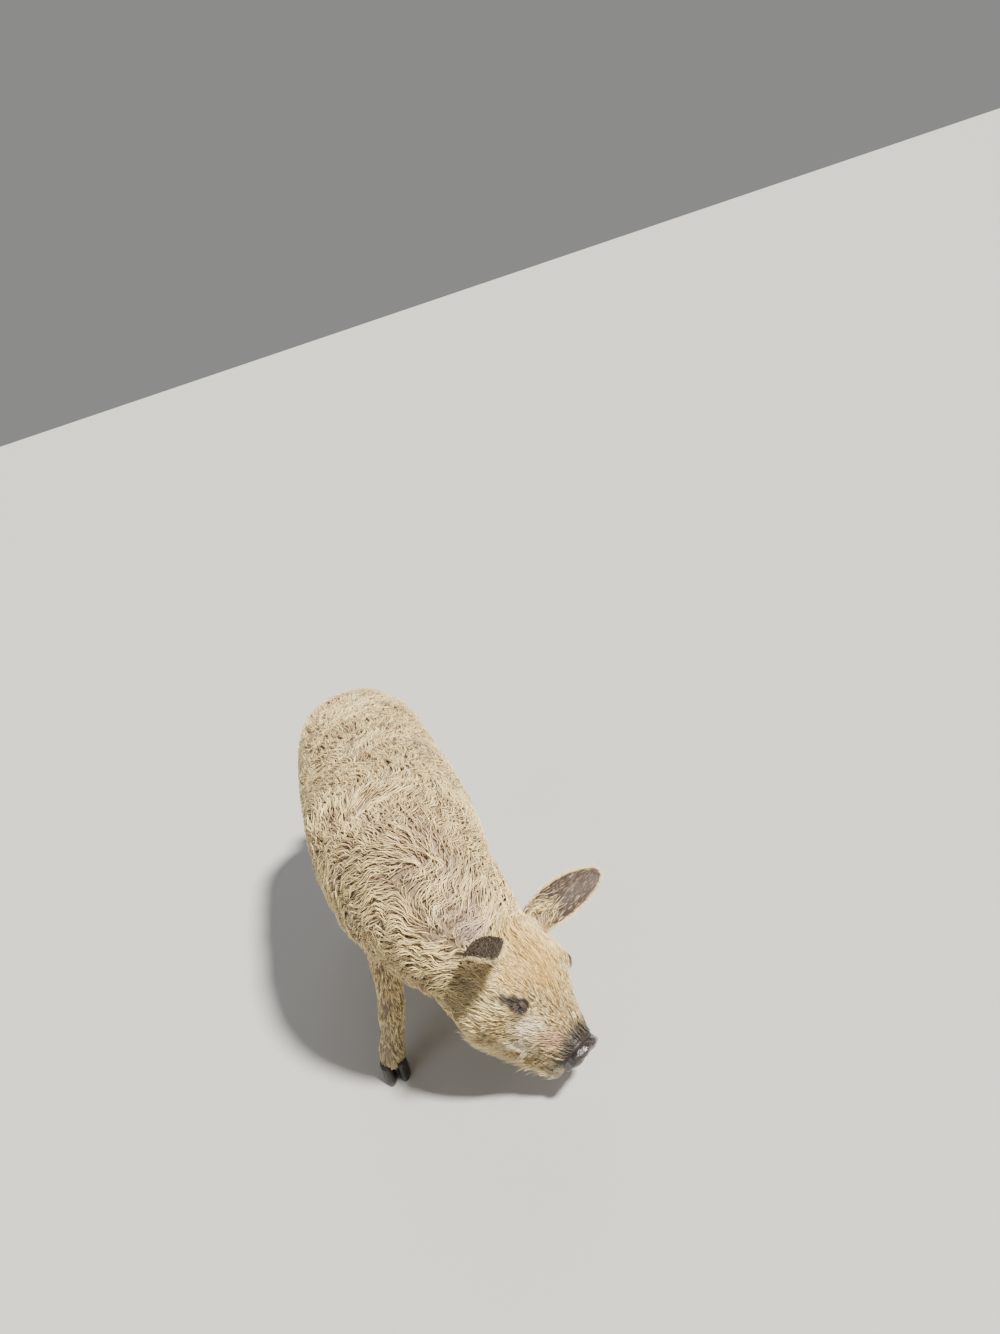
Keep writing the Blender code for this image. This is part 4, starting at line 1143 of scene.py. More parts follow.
    def lids(self, which: int, surface: BVHTree) -> bpy.types.Object:
        """Shape the two lids of one eye as a fine ring, from the wet rim out into the skin around.

        Args:
            which: -1 for the right eye, 1 for the left.
            surface: The skin's faces.

        Returns:
            The ring of lids.
        """
        centre, look, along, upward = eye_frame(which)
        radius = HEAD.eye_radius
        angles = np.linspace(0, 2 * math.pi, 64, endpoint=False)
        rings = []
        for wide, lift in self.lid_steps:
            ring = []
            for angle in angles:
                level, high = math.cos(angle), math.sin(angle)
                tall = self.slit[1] * (1.18 if high > 0 else 0.82)
                x = level * (self.slit[0] * wide + (wide - 1) * 0.004)
                y = np.sign(high) * abs(high) ** 1.25 * (tall * wide + (wide - 1) * 0.009)
                out = math.sqrt(max(radius**2 - x * x - y * y, (radius * 0.35) ** 2))
                ring.append(centre + unit(along * x + upward * y + look * out) * (radius + lift))
            rings.append(ring)
        edge = np.array(rings[-1])
        for step in np.linspace(0.25, 1.0, 5):
            ring = []
            for angle, start in zip(angles, edge):
                level, high = math.cos(angle), math.sin(angle)
                outer = centre + along * level * self.pocket[0] * 1.22 + upward * high * self.pocket[1] * 1.30
                found = surface.find_nearest(Vector(outer + look * radius * 0.6))
                goal = np.array(found[0]) - np.array(found[1]) * (0.0011 * step)
                crease = 0.0007 * math.sin(step * math.pi) * (1 if high > 0 else 0.5)
                ring.append(start * (1 - step) + goal * step + look * crease)
            rings.append(ring)
        lid = Bench.loft("lids", np.concatenate([rings, np.array(rings)[:, :1]], axis=1), closed=False)
        Bench.modify(lid, "WELD", merge_threshold=1e-6)
        Bench.modify(lid, "SUBSURF", levels=1, render_levels=1)
        Bench.choose(lid)
        if float(np.mean(Bench.normals(lid) @ look)) < 0:
            bpy.ops.object.mode_set(mode="EDIT")
            bpy.ops.mesh.select_all(action="SELECT")
            bpy.ops.mesh.flip_normals()
            bpy.ops.object.mode_set(mode="OBJECT")
        return lid


@dataclass
class Snout:
    """The nose disc: a soft rim about a flat front with two deep nostrils."""

    rows: tuple = (
        (0.0000, 0.0286, 0.0256),
        (0.0040, 0.0303, 0.0273),
        (0.0085, 0.0318, 0.0288),
        (0.0122, 0.0306, 0.0276),
        (0.0140, 0.0262, 0.0232),
    )
    start: float = 0.192
    lift: float = 0.003
    nostril_place: tuple = (0.0125, 0.001)
    nostril_size: tuple = (0.0082, 0.0096)
    nostril_depth: float = 0.011
    nostril_rim: tuple = (0.0016, 1.22, 0.24)
    groove: tuple = (0.0012, 0.0026)
    front: tuple = (0.008, 0.013)
    unevenness: tuple = ((0.0012, 0.014, 3), (0.0012, 0.016, 5), (0.0013, 0.018, 4))

    def build(self) -> bpy.types.Object:
        """Shape the disc, then sink its nostrils and the groove between its halves."""
        rings = []
        for along, half_width, half_height in smooth_rows(self.rows, 22):
            centre = HEAD.point(self.start + along, 0, self.lift)
            rings.append(oval(centre, HEAD.side, HEAD.top, (half_width, half_height, half_height), 96, 2.3))
        middle = HEAD.point(self.start + self.rows[-1][0] + 0.0007, 0, self.lift)
        rings += [middle + (rings[21] - middle) * size for size in np.linspace(0.975, 0.015, 40)]
        snout = Bench.loft("snout", np.array(rings))
        Bench.modify(snout, "SUBSURF", levels=1, render_levels=1)
        places = Bench.corners(snout)
        ahead, aside, over = HEAD.seen(places).T
        over -= self.lift
        front = share(ahead, self.start + self.front[0], self.start + self.front[1])
        height, place, width = self.nostril_rim
        for which in (-1, 1):
            level = (aside - which * self.nostril_place[0]) / self.nostril_size[0]
            high = (over - self.nostril_place[1]) / self.nostril_size[1]
            far = np.hypot(level, high)
            ahead = ahead - self.nostril_depth * (1 - share(far, 0.50, 1.0)) * front
            ahead = ahead + height * np.exp(-(((far - place) / width) ** 2)) * front
        depth, width = self.groove
        ahead = ahead - depth * np.exp(-((aside / width) ** 2)) * share(over, 0.004, -0.012) * front
        ahead, aside, over = (value + strength * swell(places, size, seed)
                              for value, (strength, size, seed) in zip((ahead, aside, over), self.unevenness))
        Bench.place(snout, HEAD.base + np.stack([ahead, aside, over + self.lift], axis=1) @ HEAD.axes)
        Bench.smooth(snout)
        return snout


@dataclass
class Claw:
    """Half of a cloven hoof, with a slightly hollowed wall and softened edges."""

    height: float = 0.026
    width: float = 0.0098
    sole: tuple = (-0.026, 0.017)
    top: tuple = (-0.0165, 0.0190)
    split: float = 0.0012
    worn_edge: float = 0.07
    hollow: float = 0.025
    toe: tuple = (0.30, 0.022)
    softening: float = 0.0008

    def build(self, leg: LegPlan, which: int, name: str) -> bpy.types.Object:
        """Make one claw of a foot.

        Args:
            leg: The leg that the foot belongs to.
            which: -1 or 1, for the claw on the foot's -X or +X side.
            name: The name of the frame's node that it stands for.

        Returns:
            The claw.
        """
        rings = []
        for place in np.linspace(0, 1, 26):
            front = self.sole[0] + (self.top[0] - self.sole[0]) * place
            back = self.sole[1] + (self.top[1] - self.sole[1]) * place
            full = 1 - self.worn_edge * (1 - place) ** 8 - self.hollow * math.sin(place * math.pi)
            centre = np.array([leg.which * leg.foot[0] + which * (self.split + self.width),
                               leg.foot[1] + (front + back) / 2, self.height * place]) - MIDDLE
            sizes = (self.width * full, (back - front) / 2 * full, (back - front) / 2 * full)
            ring = oval(centre, np.array([1.0, 0, 0]), np.array([0, 1.0, 0]), sizes, 44, 2.5)
            ahead = share(ring[:, 1], centre[1], centre[1] - self.toe[1])
            ring[:, 0] += (centre[0] - ring[:, 0]) * self.toe[0] * ahead
            rings.append(ring)
        claw = Bench.loft("hoof_" + name, np.array(rings))
        Bench.modify(claw, "BEVEL", width=self.softening, segments=2, limit_method="ANGLE")
        Bench.smooth(claw, 50.0)
        return claw


@dataclass
class Dewclaw:
    """The small claw that hangs behind the leg."""

    aside: float = 0.0105
    sunk: float = 0.0030
    height: float = 0.056
    length: float = 0.027
    radius: float = 0.0068
    tilt: float = math.radians(180 - 32)
    bend: float = 0.0016

    def build(self, leg: LegPlan, which: int, name: str) -> bpy.types.Object:
        """Make one dewclaw of a foot as a blunt, slightly bent cone."""
        upwards = np.array(leg.rows)[::-1]
        out, back, half_length = (float(np.interp(self.height, upwards[:, 2], upwards[:, column]))
                                  for column in (0, 1, 4))
        root = np.array([leg.which * (leg.foot[0] + out), leg.foot[1] + back + half_length, self.height])
        place = root + np.array([which * self.aside, -self.sunk, -self.length / 3]) - MIDDLE
        turn = Matrix.Rotation(self.tilt, 3, "X")
        ahead = np.array(turn @ Vector((0, 0, 1)))
        steps = np.linspace(-0.5, 0.5, 18)
        points = np.array([place + ahead * self.length * step for step in steps])
        points[:, 1] -= self.bend * np.cos(steps * math.pi)
        radii = self.radius * np.interp(steps, (-0.5, 0.36, 0.46, 0.5), (1.0, 0.58, 0.42, 0.16))
        claw = Bench.loft("small_" + name, tube_rings(points, radii, 32))
        Bench.smooth(claw, 60.0)
        return claw


@dataclass(frozen=True)
class Hair:
    """How one kind of hair grows: counts and sizes, how it waves, strays and gathers in locks."""

    name: str
    count: int
    length: tuple
    width: float
    height: tuple
    rings: int = 4
    sway: float = 0.0
    lift: float = 0.0
    wave: float = 0.020
    stray: float = 0.20
    locks: int = 0
    gather: float = 0.0
    tip_lift: float = 0.0005


class Region(Enum):
    """The parts of the skin that are unrolled side by side for the coat's own map."""

    TRUNK = (0.00, 0.00, 0.70, 0.62)
    HEAD = (0.00, 0.64, 0.70, 0.36)
    LEGS = (0.72, 0.00, 0.27, 0.56)
    EARS = (0.72, 0.58, 0.27, 0.28)
    TAIL = (0.72, 0.88, 0.27, 0.11)


class Coat:
    """Grows hair on the skin, each one a closed mesh that follows it."""

    # The side of each hair's square on the map, and the most hairs and triangles of one piece.
    patch = 0.003
    most = 5600
    most_triangles = 190000
    # How much shorter the trunk's hair is by the legs and by the head.
    legs_shorter = 0.62
    head_shorter = 0.28
    # The way back and down that the curls run along, and how strongly, how widely and by which patterns
    # they wander.
    curl_way = (0.92, -0.45)
    curl_wander = ((3.2, 0.10, 17), (2.1, 0.040, 18))
    # How the wave's strength changes over the body: its mean, its change, how widely and by which pattern.
    uneven = (0.95, 0.45, 0.075, 23)
    # How deep a hair is rooted and may dip, and how far it shares its lock's shade and curl.
    root_depth = 0.0010
    most_depth = 0.0012
    lock_shade = (0.70, 0.30)
    lock_curl = 0.8
    own_curl = 0.35
    # The ways that hair lies on trunk and legs, and how near to ear and tail it follows them instead.
    trunk_way = (0.0, 1.0, -0.42)
    leg_way = (0.0, 0.10, -1.0)
    ear_reach = (0.012, 0.004)
    ear_start = (0.012, 0.030)
    tail_reach = (0.024, 0.012)
    # How strongly whorls turn the hair, and the wide swirl over the whole body: strength, size, pattern.
    whorl_pull = 0.44
    swirl = (0.62, 0.17, 11)
    # Where the coat whorls: the middle, how wide, and which way round.
    whorls = (
        ((-0.043, -0.325, 0.376), 0.055, 1.0),
        ((-0.074, -0.190, 0.425), 0.050, -1.0),
        ((-0.140, -0.060, 0.300), 0.060, 1.0),
        ((-0.110, 0.190, 0.370), 0.060, -1.0),
        ((0.060, -0.120, 0.430), 0.050, -1.0),
        ((0.120, 0.060, 0.330), 0.060, 1.0),
        ((0.080, 0.250, 0.370), 0.055, -1.0),
    )

    def __init__(self, skin: bpy.types.Object) -> None:
        """Read the skin's faces, so that hair can be rooted on them and follow them."""
        mesh = skin.data
        mesh.calc_loop_triangles()
        corners = np.empty(len(mesh.loop_triangles) * 3, np.int32)
        mesh.loop_triangles.foreach_get("vertices", corners)
        self.faces = Bench.corners(skin)[corners.reshape(-1, 3)]
        crossed = np.cross(self.faces[:, 1] - self.faces[:, 0], self.faces[:, 2] - self.faces[:, 0])
        self.areas = np.linalg.norm(crossed, axis=1) / 2
        self.facing = unit(crossed)
        self.middles = self.faces.mean(axis=1)
        self.surface = BVHTree.FromObject(skin, bpy.context.evaluated_depsgraph_get())
        self.pieces: list[bpy.types.Object] = []

    def scatter(self, count: int, wanted: np.ndarray, chance: np.random.Generator) -> tuple:
        """Root hairs on the skin, as densely as wanted.

        Args:
            count: How many hairs there are.
            wanted: How thickly hair grows on each face.
            chance: The source of random numbers.

        Returns:
            The roots and the outward directions at them.
        """
        weight = self.areas * wanted
        total = float(weight.sum())
        if total <= 0:
            return np.zeros((0, 3)), np.zeros((0, 3))
        chosen = chance.choice(len(weight), count, p=weight / total)
        first, second = chance.random(count), chance.random(count)
        over = first + second > 1
        first[over], second[over] = 1 - first[over], 1 - second[over]
        face = self.faces[chosen]
        one, two = face[:, 1] - face[:, 0], face[:, 2] - face[:, 0]
        return face[:, 0] + one * first[:, None] + two * second[:, None], self.facing[chosen]

    def nearest(self, points: np.ndarray) -> tuple[np.ndarray, np.ndarray]:
        """Find the nearest places on the skin and the outward directions there."""
        found = [self.surface.find_nearest(Vector(point))[:2] for point in points]
        return np.array([place[:] for place, _ in found]), np.array([normal[:] for _, normal in found])

    @staticmethod
    def lie(points: np.ndarray, normals: np.ndarray) -> np.ndarray:
        """Give the way the coat lies: back along body and head, down the legs, out along ears and tail."""
        seen = HEAD.seen(points)
        near_head = share(seen[:, 0], -0.03, 0.05) * share(np.hypot(seen[:, 1], seen[:, 2]), 0.16, 0.12)
        trunk = np.tile(np.array(Coat.trunk_way), (len(points), 1))
        aside = np.clip(np.abs(seen[:, 1]) / 0.08, 0, 1)[:, None]
        head = -HEAD.forward - HEAD.top * (0.15 + 0.45 * aside)
        way = trunk + (head - trunk) * near_head[:, None]
        legs = (share(points[:, 2], 0.21, 0.15) * near_legs(points) * (1 - near_head))[:, None]
        way = way + (np.array(Coat.leg_way) - way) * legs
        leaf = share(ear_distance(points), *Coat.ear_reach)
        for plan in EARS:
            near = np.linalg.norm(points - plan.middle(0.5)[0], axis=1) < 0.10
            past_root = share(np.linalg.norm(points - plan.middle(0.0)[0], axis=1), *Coat.ear_start)
            way = way + (plan.middle(0.6)[1] - way) * (leaf * near * past_root)[:, None]
        tail = TRUNK.tail_line()
        far = np.linalg.norm(points[:, None] - tail[None], axis=2)
        tangent = unit(np.gradient(tail, axis=0))[np.argmin(far, axis=1)]
        amount = share(far.min(axis=1), *Coat.tail_reach)[:, None]
        way = way + (tangent - way) * amount
        for centre, size, turn in Coat.whorls:
            gap = points - np.array(centre)
            pull = Coat.whorl_pull * np.exp(-np.sum(gap**2, axis=1) / size**2)[:, None]
            way = way + (unit(np.cross(normals, gap)) * turn - way) * pull
        flat = flatten(way, normals)
        strength, size, seed = Coat.swirl
        strength = strength - 0.45 * near_head - 0.40 * legs[:, 0]
        swirl = swell(points, size, seed) * strength * (1 - amount[:, 0])
        sideways = np.cross(normals, flat)
        return flat * np.cos(swirl)[:, None] + sideways * np.sin(swirl)[:, None]

    def follow(self, roots: np.ndarray, normals: np.ndarray, lengths: np.ndarray, turns: np.ndarray,
               rings: int) -> tuple[np.ndarray, np.ndarray]:
        """Walk over the skin from each root.

        Args:
            roots: Where the hairs start.
            normals: The outward directions there.
            lengths: How long each hair is.
            turns: How far each hair strays from the lie of the coat, in radians.
            rings: How many places are read along each hair.

        Returns:
            The places and outward directions along each hair.
        """
        places, outward = [roots], [normals]
        step = (lengths / (rings - 1))[:, None]
        for _ in range(rings - 1):
            way = self.lie(places[-1], outward[-1])
            sideways = np.cross(outward[-1], way)
            way = way * np.cos(turns)[:, None] + sideways * np.sin(turns)[:, None]
            place, normal = self.nearest(places[-1] + way * step)
            behind = np.sum(normal * outward[-1], axis=1) < -0.2
            normal[behind] = outward[-1][behind]
            places.append(place)
            outward.append(unit(normal + outward[-1] * 0.6))
        return np.stack(places, axis=1), np.stack(outward, axis=1)

    def grow(self, hair: Hair, region: Region, wanted: np.ndarray, seed: int,
             stand: float = 0.0) -> None:
        """Grow one kind of hair and keep its mesh pieces.

        Args:
            hair: The kind.
            region: Where its skin lies on the coat's map.
            wanted: How thickly it grows on each face of the skin.
            seed: Which random numbers are used.
            stand: How far its tips stand out from the skin, as a share of its length.
        """
        chance = np.random.default_rng(SEED * 100 + seed)
        roots, normals = self.scatter(hair.count, wanted, chance)
        if not len(roots):
            return
        count, rings = len(roots), hair.rings
        shorter = self.shorter(roots) if region is Region.TRUNK else np.ones(count)
        lengths = chance.uniform(*hair.length, count) * shorter
        turns = chance.normal(0, hair.stray, count)
        places, outward = self.follow(roots, normals, lengths, turns, rings)
        if hair.locks:
            picked = chance.choice(count, hair.locks, replace=False)
            tree = tree_of(roots[picked])
            lock = picked[[tree.find(Vector(root))[1] for root in roots]]
            pull = (np.linspace(0, 1, rings) ** 0.9 * hair.gather)[None, :, None]
            goal = places[lock] + (roots - roots[lock])[:, None] * 0.35
            places = places + (goal - places) * pull
            shared, own = self.lock_shade
            tone = chance.random(count)[lock] * shared + chance.random(count) * own
            lilt = chance.normal(0, self.lock_curl, count)[lock]
        else:
            tone = chance.random(count)
            lilt = np.zeros(count)
        along = np.linspace(0, 1, rings)[None, :]
        ahead = unit(np.gradient(places, axis=1))
        sideways = unit(np.cross(outward, ahead))
        phase = self.phase(places.reshape(-1, 3), hair.wave).reshape(count, rings)
        phase = phase + lilt[:, None] + chance.normal(0, self.own_curl, (count, 1))
        tall = (chance.uniform(*hair.height, count) * shorter)[:, None]
        rise = -self.root_depth + tall * share(along, -0.12, 0.34) + hair.tip_lift * along**2
        rise = rise + np.cos(phase) * hair.lift * share(along, 0.0, 0.4)
        rise = rise + lengths[:, None] * stand * along**1.3
        mean, change, size, seed = self.uneven
        uneven = mean + change * swell(places.reshape(-1, 3), size, seed).reshape(count, rings)
        places = places + sideways * (np.sin(phase) * hair.sway * uneven * share(along, 0.0, 0.3))[..., None]
        places = places + outward * np.maximum(rise, -self.most_depth)[..., None]
        wide = hair.width * chance.uniform(0.75, 1.25, (count, 1)) * (0.55 + 0.75 * along - 0.55 * along**2)
        self.keep(hair.name, region, roots, places, outward, wide, tone)

    @staticmethod
    def shorter(roots: np.ndarray) -> np.ndarray:
        """Give the share of its full length that body hair keeps towards the legs and the head."""
        seen = HEAD.seen(roots)
        legs = share(roots[:, 2], 0.28, 0.16) * near_legs(roots)
        head = share(seen[:, 0], -0.02, 0.05) * (np.hypot(seen[:, 1], seen[:, 2]) < 0.13)
        return 1 - np.maximum(Coat.legs_shorter * legs, Coat.head_shorter * head)

    @staticmethod
    def phase(points: np.ndarray, wave: float) -> np.ndarray:
        """Give the curl's phase, which hairs that lie side by side share."""
        along = points[:, 1] * Coat.curl_way[0] + points[:, 2] * Coat.curl_way[1]
        phase = along * 2 * math.pi / wave
        for strength, size, seed in Coat.curl_wander:
            phase = phase + strength * swell(points, size, seed)
        return phase

    def keep(self, name: str, region: Region, roots: np.ndarray, places: np.ndarray, outward: np.ndarray,
             wide: np.ndarray, tone: np.ndarray) -> None:
        """Turn hairs into closed three-sided meshes, a piece for each stretch of the body."""
        order = np.argsort(roots[:, 1])
        rings = places.shape[1]
        most = min(self.most, self.most_triangles // (6 * (rings - 2) + 4))
        parts = np.array_split(order, math.ceil(len(order) / most))
        for number, part in enumerate(parts):
            piece = self.mesh(f"{name}_{number + 1}", places[part], outward[part], wide[part])
            points = rings * 3 - 2
            along = np.append(np.repeat(np.linspace(0, 1, rings)[:-1], 3), 1.0)
            Bench.note(piece, "along", np.tile(along, len(part)))
            Bench.note(piece, "shade", np.repeat(tone[part], points))
            self.unroll(piece, region, roots[part], points, along)
            self.pieces.append(piece)

    @staticmethod
    def mesh(name: str, places: np.ndarray, outward: np.ndarray, wide: np.ndarray) -> bpy.types.Object:
        """Join hairs in one mesh, each with three sides, a closed root and a pointed tip."""
        count, rings = places.shape[:2]
        ahead = unit(np.gradient(places, axis=1))
        sideways = unit(np.cross(ahead, outward))
        upward = np.cross(sideways, ahead)
        half = wide[..., None] / 2
        corners = np.stack([places + sideways * half - upward * half * 0.35,
                            places - sideways * half - upward * half * 0.35,
                            places + upward * half * 0.75], axis=2)
        body = corners[:, :-1].reshape(count, -1, 3)
        points = np.concatenate([body, places[:, -1:]], axis=1)
        faces = [(0, 1, 2)]
        for ring in range(rings - 2):
            for side in range(3):
                here, after = ring * 3 + side, ring * 3 + (side + 1) % 3
                faces += [(here, here + 3, after), (after, here + 3, after + 3)]
        last, tip = (rings - 2) * 3, rings * 3 - 3
        faces += [(last + side, tip, last + (side + 1) % 3) for side in range(3)]
        faces = np.array(faces)
        corner = (faces[None] + np.arange(count)[:, None, None] * points.shape[1]).reshape(-1)
        mesh = bpy.data.meshes.new(name)
        mesh.vertices.add(count * points.shape[1])
        mesh.vertices.foreach_set("co", points.astype(np.float32).ravel())
        mesh.loops.add(len(corner))
        mesh.loops.foreach_set("vertex_index", corner.astype(np.int32))
        mesh.polygons.add(len(corner) // 3)
        mesh.polygons.foreach_set("loop_start", np.arange(0, len(corner), 3, dtype=np.int32))
        mesh.polygons.foreach_set("use_smooth", np.ones(len(corner) // 3, bool))
        mesh.update(calc_edges=True)
        piece = bpy.data.objects.new(name, mesh)
        bpy.context.scene.collection.objects.link(piece)
        return piece

    def unroll(self, piece: bpy.types.Object, region: Region, roots: np.ndarray, points: int,
               along: np.ndarray) -> None:
        """Lay each hair's patch at its root's place on the skin unrolled about its own length."""
        across, up = self.unrolled(region, roots)
        left, low, width, height = region.value
        start = np.stack([left + np.clip(across, 0, 1) * (width - self.patch),
                          low + np.clip(up, 0, 1) * (height - self.patch)], axis=1)
        side = np.append(np.tile((0.0, 0.5, 1.0), (points - 1) // 3), 0.5)
        within = np.stack([side, along], axis=1) * self.patch
        places = (start[:, None] + within[None]).reshape(-1, 2)
        corner = np.empty(len(piece.data.loops), np.int32)
        piece.data.loops.foreach_get("vertex_index", corner)
        layer = piece.data.uv_layers.new(name="OFBake")
        layer.data.foreach_set("uv", places[corner].astype(np.float32).ravel())

    @staticmethod
    def unrolled(region: Region, roots: np.ndarray) -> tuple[np.ndarray, np.ndarray]:
        """Give each root's place in its region of the map: along the form and round it, both from 0 to 1."""
        if region is Region.TRUNK:
            around = np.arctan2(roots[:, 0] - (0.0 - MIDDLE[0]), roots[:, 2] - 0.30)
            return (roots[:, 1] + 0.36) / 0.80, around / (2 * math.pi) + 0.5
        if region is Region.HEAD:
            ahead, aside, over = HEAD.seen(roots).T
            return (ahead + 0.02) / 0.23, np.arctan2(aside, over) / (2 * math.pi) + 0.5
        if region is Region.TAIL:
            line = TRUNK.tail_line()
            step = np.argmin(np.linalg.norm(roots[:, None] - line[None], axis=2), axis=1)
            return step / len(line), (roots[:, 0] - line[step, 0]) / 0.05 + 0.5
        if region is Region.EARS:
            plans = np.array([[plan.middle(step)[0] for step in np.linspace(0, 1, 16)] for plan in EARS])
            far = np.linalg.norm(roots[:, None, None] - plans[None], axis=3)
            which = np.argmin(far.min(axis=2), axis=1)
            step = np.argmin(far[np.arange(len(roots)), which], axis=1)
            gap = roots - plans[which, step]
            sides = [unit(np.cross(plan.middle(0.5)[1], HEAD.way(*plan.face))) for plan in EARS]
            ways = np.array(sides)[which]
            faces = np.array([plan.facing() for plan in EARS])[which]
            turn = np.arctan2(np.sum(gap * ways, axis=1), np.sum(gap * faces, axis=1)) / (2 * math.pi) + 0.5
            return step / 16, (which + turn) / 2
        middles = np.array([leg.middle(np.clip(roots[:, 2], 0.02, 0.3)) for leg in LEGS])
        which = np.argmin(np.linalg.norm(middles - roots[None], axis=2), axis=0)
        gap = roots - middles[which, np.arange(len(roots))]
        turn = np.arctan2(gap[:, 0], gap[:, 1]) / (2 * math.pi) + 0.5
        return roots[:, 2] / 0.22, (which + turn) / 4


# The finish of each kind of hair, by the start of its pieces' names, with the plain coat last.
HAIR_FINISHES = {
    # The under layer is the same wool painted darker: painted shade for the hair beneath the top layer.
    "coat_under": HairFinish("wool_under", (0.17, 0.112, 0.070), (0.48, 0.36, 0.205), (0.26, 0.19, 0.115),
                             (0.38, 0.255, 0.13), (0.64, 0.52, 0.33)),
    "coat_ears_outer": HairFinish("ear_hair", (0.018, 0.014, 0.012), (0.072, 0.055, 0.042),
                                  (0.04, 0.031, 0.026), (0.055, 0.040, 0.030), (0.15, 0.12, 0.09),
                                  marks=0.25, gloss=0.15, sheen=0.0),
    "coat_ears_inner": HairFinish("inner_ear_hair", (0.09, 0.065, 0.052), (0.31, 0.255, 0.19),
                                  (0.14, 0.105, 0.08), (0.20, 0.15, 0.11),
                                  marks=0.25, gloss=0.15, sheen=0.0),
    "lashes": HairFinish("dark_hair", (0.03, 0.022, 0.02), (0.12, 0.09, 0.07), (0.05, 0.04, 0.03),
                         (0.10, 0.07, 0.05), (0.20, 0.16, 0.12), marks=0.0),
    "coat_face": HairFinish("face_hair", (0.20, 0.125, 0.055), (0.96, 0.75, 0.36), (0.48, 0.34, 0.16),
                            (0.42, 0.28, 0.10), start=0.26),
    "coat": HairFinish("wool", (0.24, 0.155, 0.080), (0.95, 0.75, 0.37), (0.50, 0.37, 0.19),
                       (0.46, 0.31, 0.13)),
}


